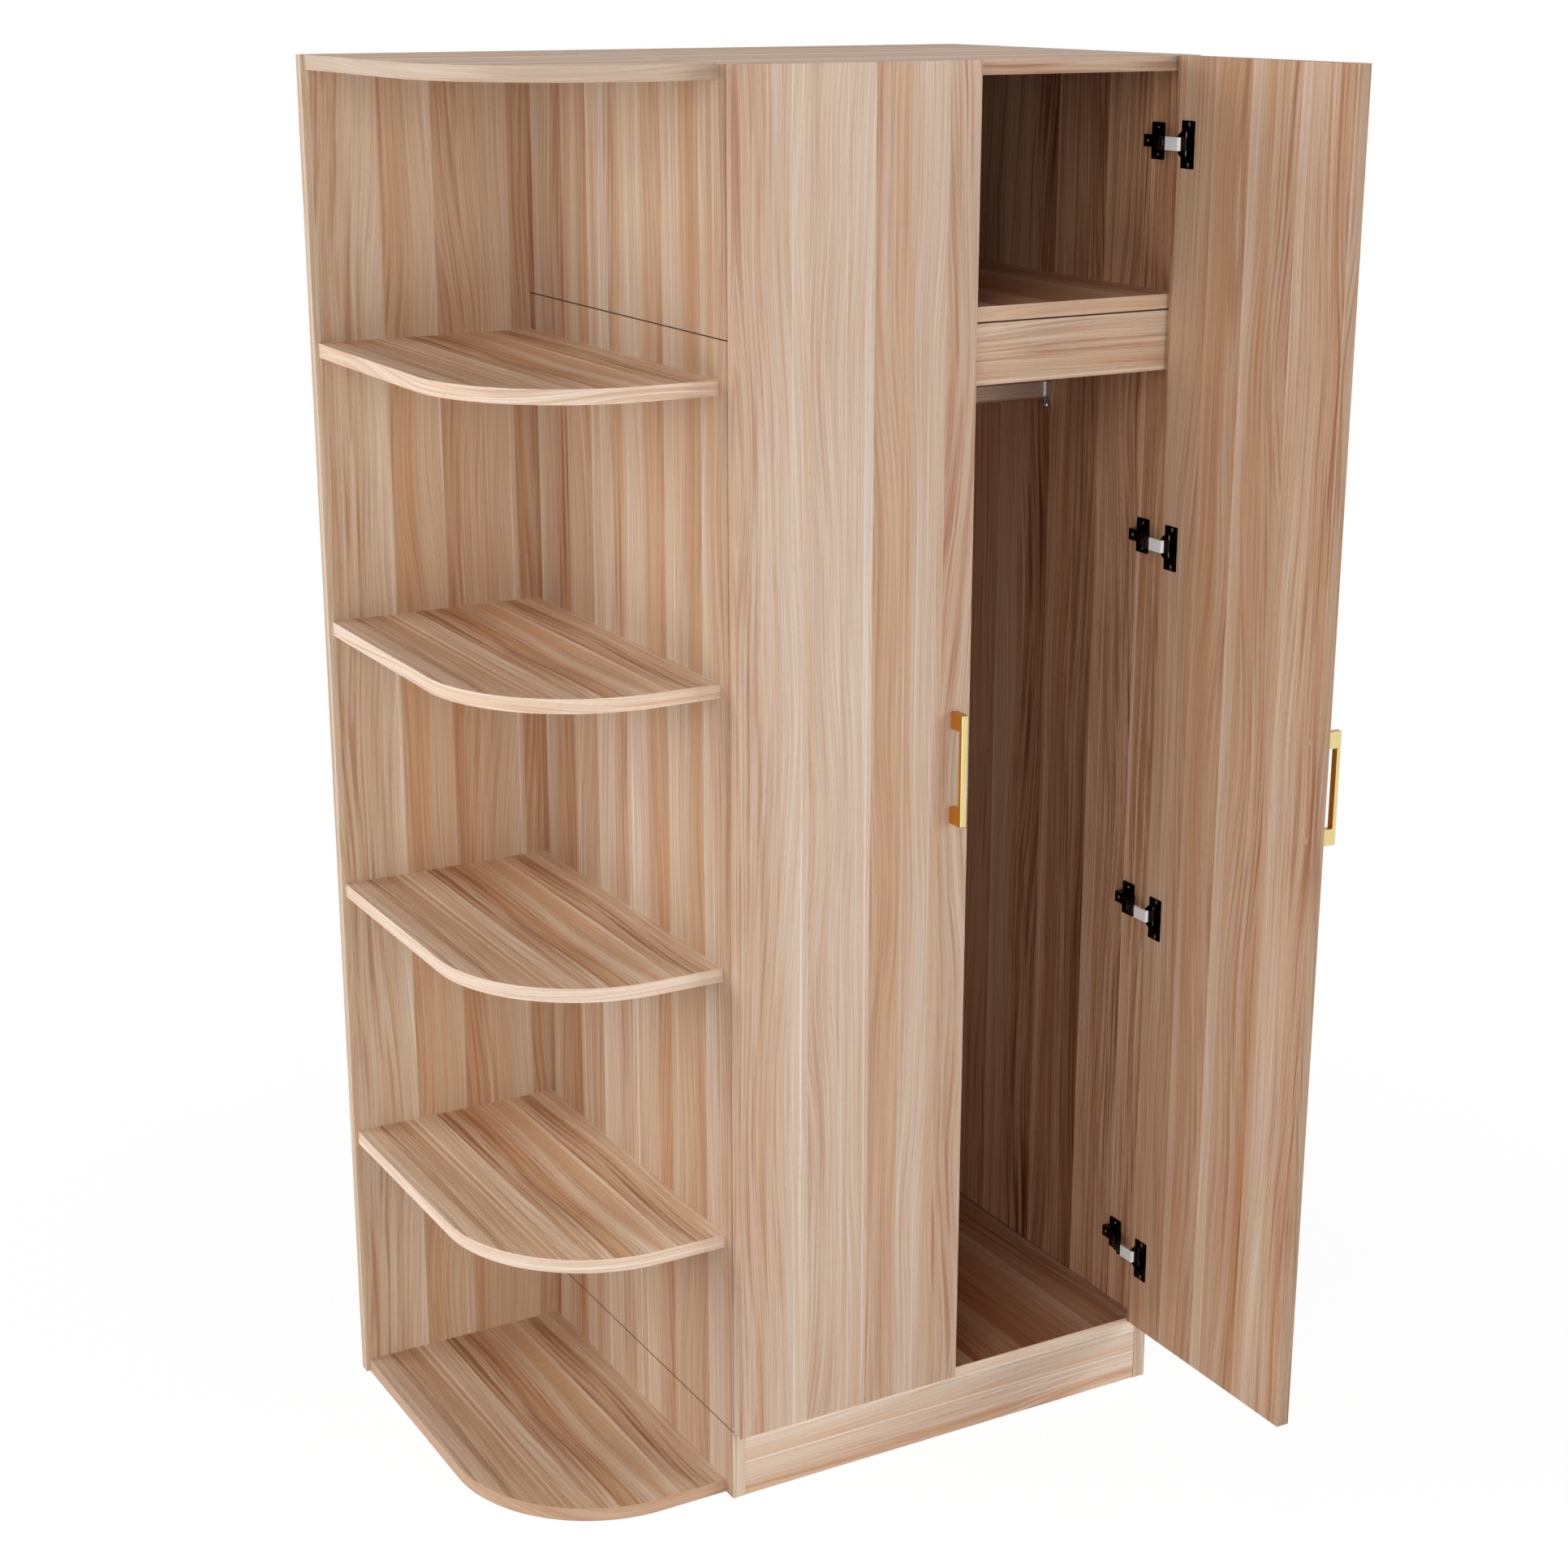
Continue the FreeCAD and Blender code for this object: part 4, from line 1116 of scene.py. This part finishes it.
@dataclass
class Studio:
    """Pale floor, white surroundings, soft lamps and the camera."""

    lamps: Tuple[Lamp, ...] = (
        Lamp("front_box", (0.0, -5.0, 1.3), 62.0),
        Lamp("left_box", (-5.0, 0.0, 1.2), 69.0),
        Lamp("low_box", (-2.4, -1.2, 0.5), 8.5, 0.8),
        Lamp("top_box", (0.0, 0.0, 5.0), 18.0),
        Lamp("high_box", (-3.2, -3.2, 3.0), 60.0),
        Lamp("right_box", (3.5, -3.5, 2.0), 120.0),
        Lamp("rear_box", (-4.0, 2.5, 2.2), 90.0),
    )
    target: Point = (0.0, 0.0, 0.9)
    world_level: float = 0.02
    # The floor: half its width, its cells, how far it lies under the object, and its tone as a reflector
    floor_half: float = 60.0
    floor_cells: int = 4
    floor_drop: float = 0.5 * MM
    floor_tone: str = "E6E4E1"
    # As it is seen: its own light, the grey that takes the shadow, and where it fades to plain white
    floor_shine: float = 0.945
    floor_grey: float = 0.09
    floor_fade: Tuple[float, float] = (0.9, 1.9)
    camera_place: Point = (-1.62039, -2.81321, 1.90271)
    camera_pitch: float = -0.2961
    camera_yaw: float = -0.5107
    lens_mm: float = 61.52
    sensor_mm: float = 36.0

    def seen(self, tree: bpy.types.NodeTree) -> Socket:
        """Tell whether a ray comes from the camera, a mirror or glass.

        Args:
            tree: The tree that asks.

        Returns:
            A socket that is 1 for such rays.
        """
        path = put(tree, "ShaderNodeLightPath").outputs
        first = put(tree, "ShaderNodeMath", {0: path["Is Camera Ray"], 1: path["Is Glossy Ray"]},
                    operation="MAXIMUM").outputs[0]
        return put(tree, "ShaderNodeMath", {0: first, 1: path["Is Transmission Ray"]},
                   operation="MAXIMUM").outputs[0]

    def floor(self) -> None:
        """Lay a pale floor that looks white and keeps a faint shadow of the object."""
        bm = bmesh.new()
        cells = self.floor_cells
        bmesh.ops.create_grid(bm, x_segments=cells, y_segments=cells, size=self.floor_half)
        mesh = bpy.data.meshes.new("floor")
        bm.to_mesh(mesh)
        bm.free()
        mesh.transform(Matrix.Translation((0.0, 0.0, -self.floor_drop)))
        floor = new_piece("floor", mesh)
        finish = blank("pale_floor")
        tree = finish.node_tree
        plain = put(tree, "ShaderNodeBsdfDiffuse", {"Color": linear(self.floor_tone)}).outputs[0]
        grey = (self.floor_grey, self.floor_grey, self.floor_grey, 1.0)
        shadow = put(tree, "ShaderNodeBsdfDiffuse", {"Color": grey}).outputs[0]
        glow = put(tree, "ShaderNodeEmission", {"Color": WHITE, "Strength": self.floor_shine}).outputs[0]
        near = put(tree, "ShaderNodeAddShader", {0: shadow, 1: glow}).outputs[0]
        far = put(tree, "ShaderNodeEmission", {"Color": WHITE, "Strength": 1.0}).outputs[0]
        spot = put(tree, "ShaderNodeTexCoord").outputs["Object"]
        away = put(tree, "ShaderNodeVectorMath", {0: spot}, operation="LENGTH").outputs["Value"]
        fade = put(tree, "ShaderNodeMapRange", {0: away, 1: self.floor_fade[0], 2: self.floor_fade[1]},
                   interpolation_type="SMOOTHSTEP").outputs[0]
        white = put(tree, "ShaderNodeMixShader", {0: fade, 1: near, 2: far}).outputs[0]
        mixed = put(tree, "ShaderNodeMixShader", {0: self.seen(tree), 1: plain, 2: white}).outputs[0]
        put(tree, "ShaderNodeOutputMaterial", {"Surface": mixed})
        mesh.materials.append(finish)

    def surroundings(self) -> None:
        """Light the room evenly and show it white."""
        world = bpy.data.worlds.new("white_room")
        world.use_nodes = True
        tree = world.node_tree
        tree.nodes.clear()
        light = put(tree, "ShaderNodeBackground", {"Color": WHITE, "Strength": self.world_level}).outputs[0]
        white = put(tree, "ShaderNodeBackground", {"Color": WHITE, "Strength": 1.0}).outputs[0]
        mixed = put(tree, "ShaderNodeMixShader", {0: self.seen(tree), 1: light, 2: white}).outputs[0]
        put(tree, "ShaderNodeOutputWorld", {"Surface": mixed})
        bpy.context.scene.world = world

    def camera(self) -> None:
        """Set the camera where the photograph was taken from."""
        lens = bpy.data.cameras.new("camera")
        lens.lens = self.lens_mm
        lens.sensor_width = self.sensor_mm
        lens.sensor_fit = "HORIZONTAL"
        camera = bpy.data.objects.new("camera", lens)
        camera.location = self.camera_place
        camera.rotation_euler = (math.pi / 2 + self.camera_pitch, 0.0, self.camera_yaw)
        bpy.context.scene.collection.objects.link(camera)
        bpy.context.scene.camera = camera

    def build(self) -> None:
        """Set up the room, its light and the camera."""
        bpy.context.scene.view_settings.view_transform = "Standard"
        self.floor()
        self.surroundings()
        for lamp in self.lamps:
            lamp.hang(self.target)
        self.camera()


def main() -> None:
    """Build the room and every sub-assembly in order."""
    logging.basicConfig(level=logging.INFO, format="%(message)s")
    assemblies = (
        Studio(), Cabinet(), EndUnit(),
        # Door tones are painted light and shade: the right door, resting open with its inner face in the
        # shade, is darker and steeper
        Door(Side.LEFT, seed=5.0, face="CCB5A0", edge="CAB39E", depth=1.1),
        Door(Side.RIGHT, seed=6.0, face="C6A082", edge="AD9077", depth=1.4),
        HangingRail(), Fasteners(),
    )
    for assembly in assemblies:
        log.info("building %s", type(assembly).__name__)
        assembly.build()


if __name__ == "__main__":
    main()
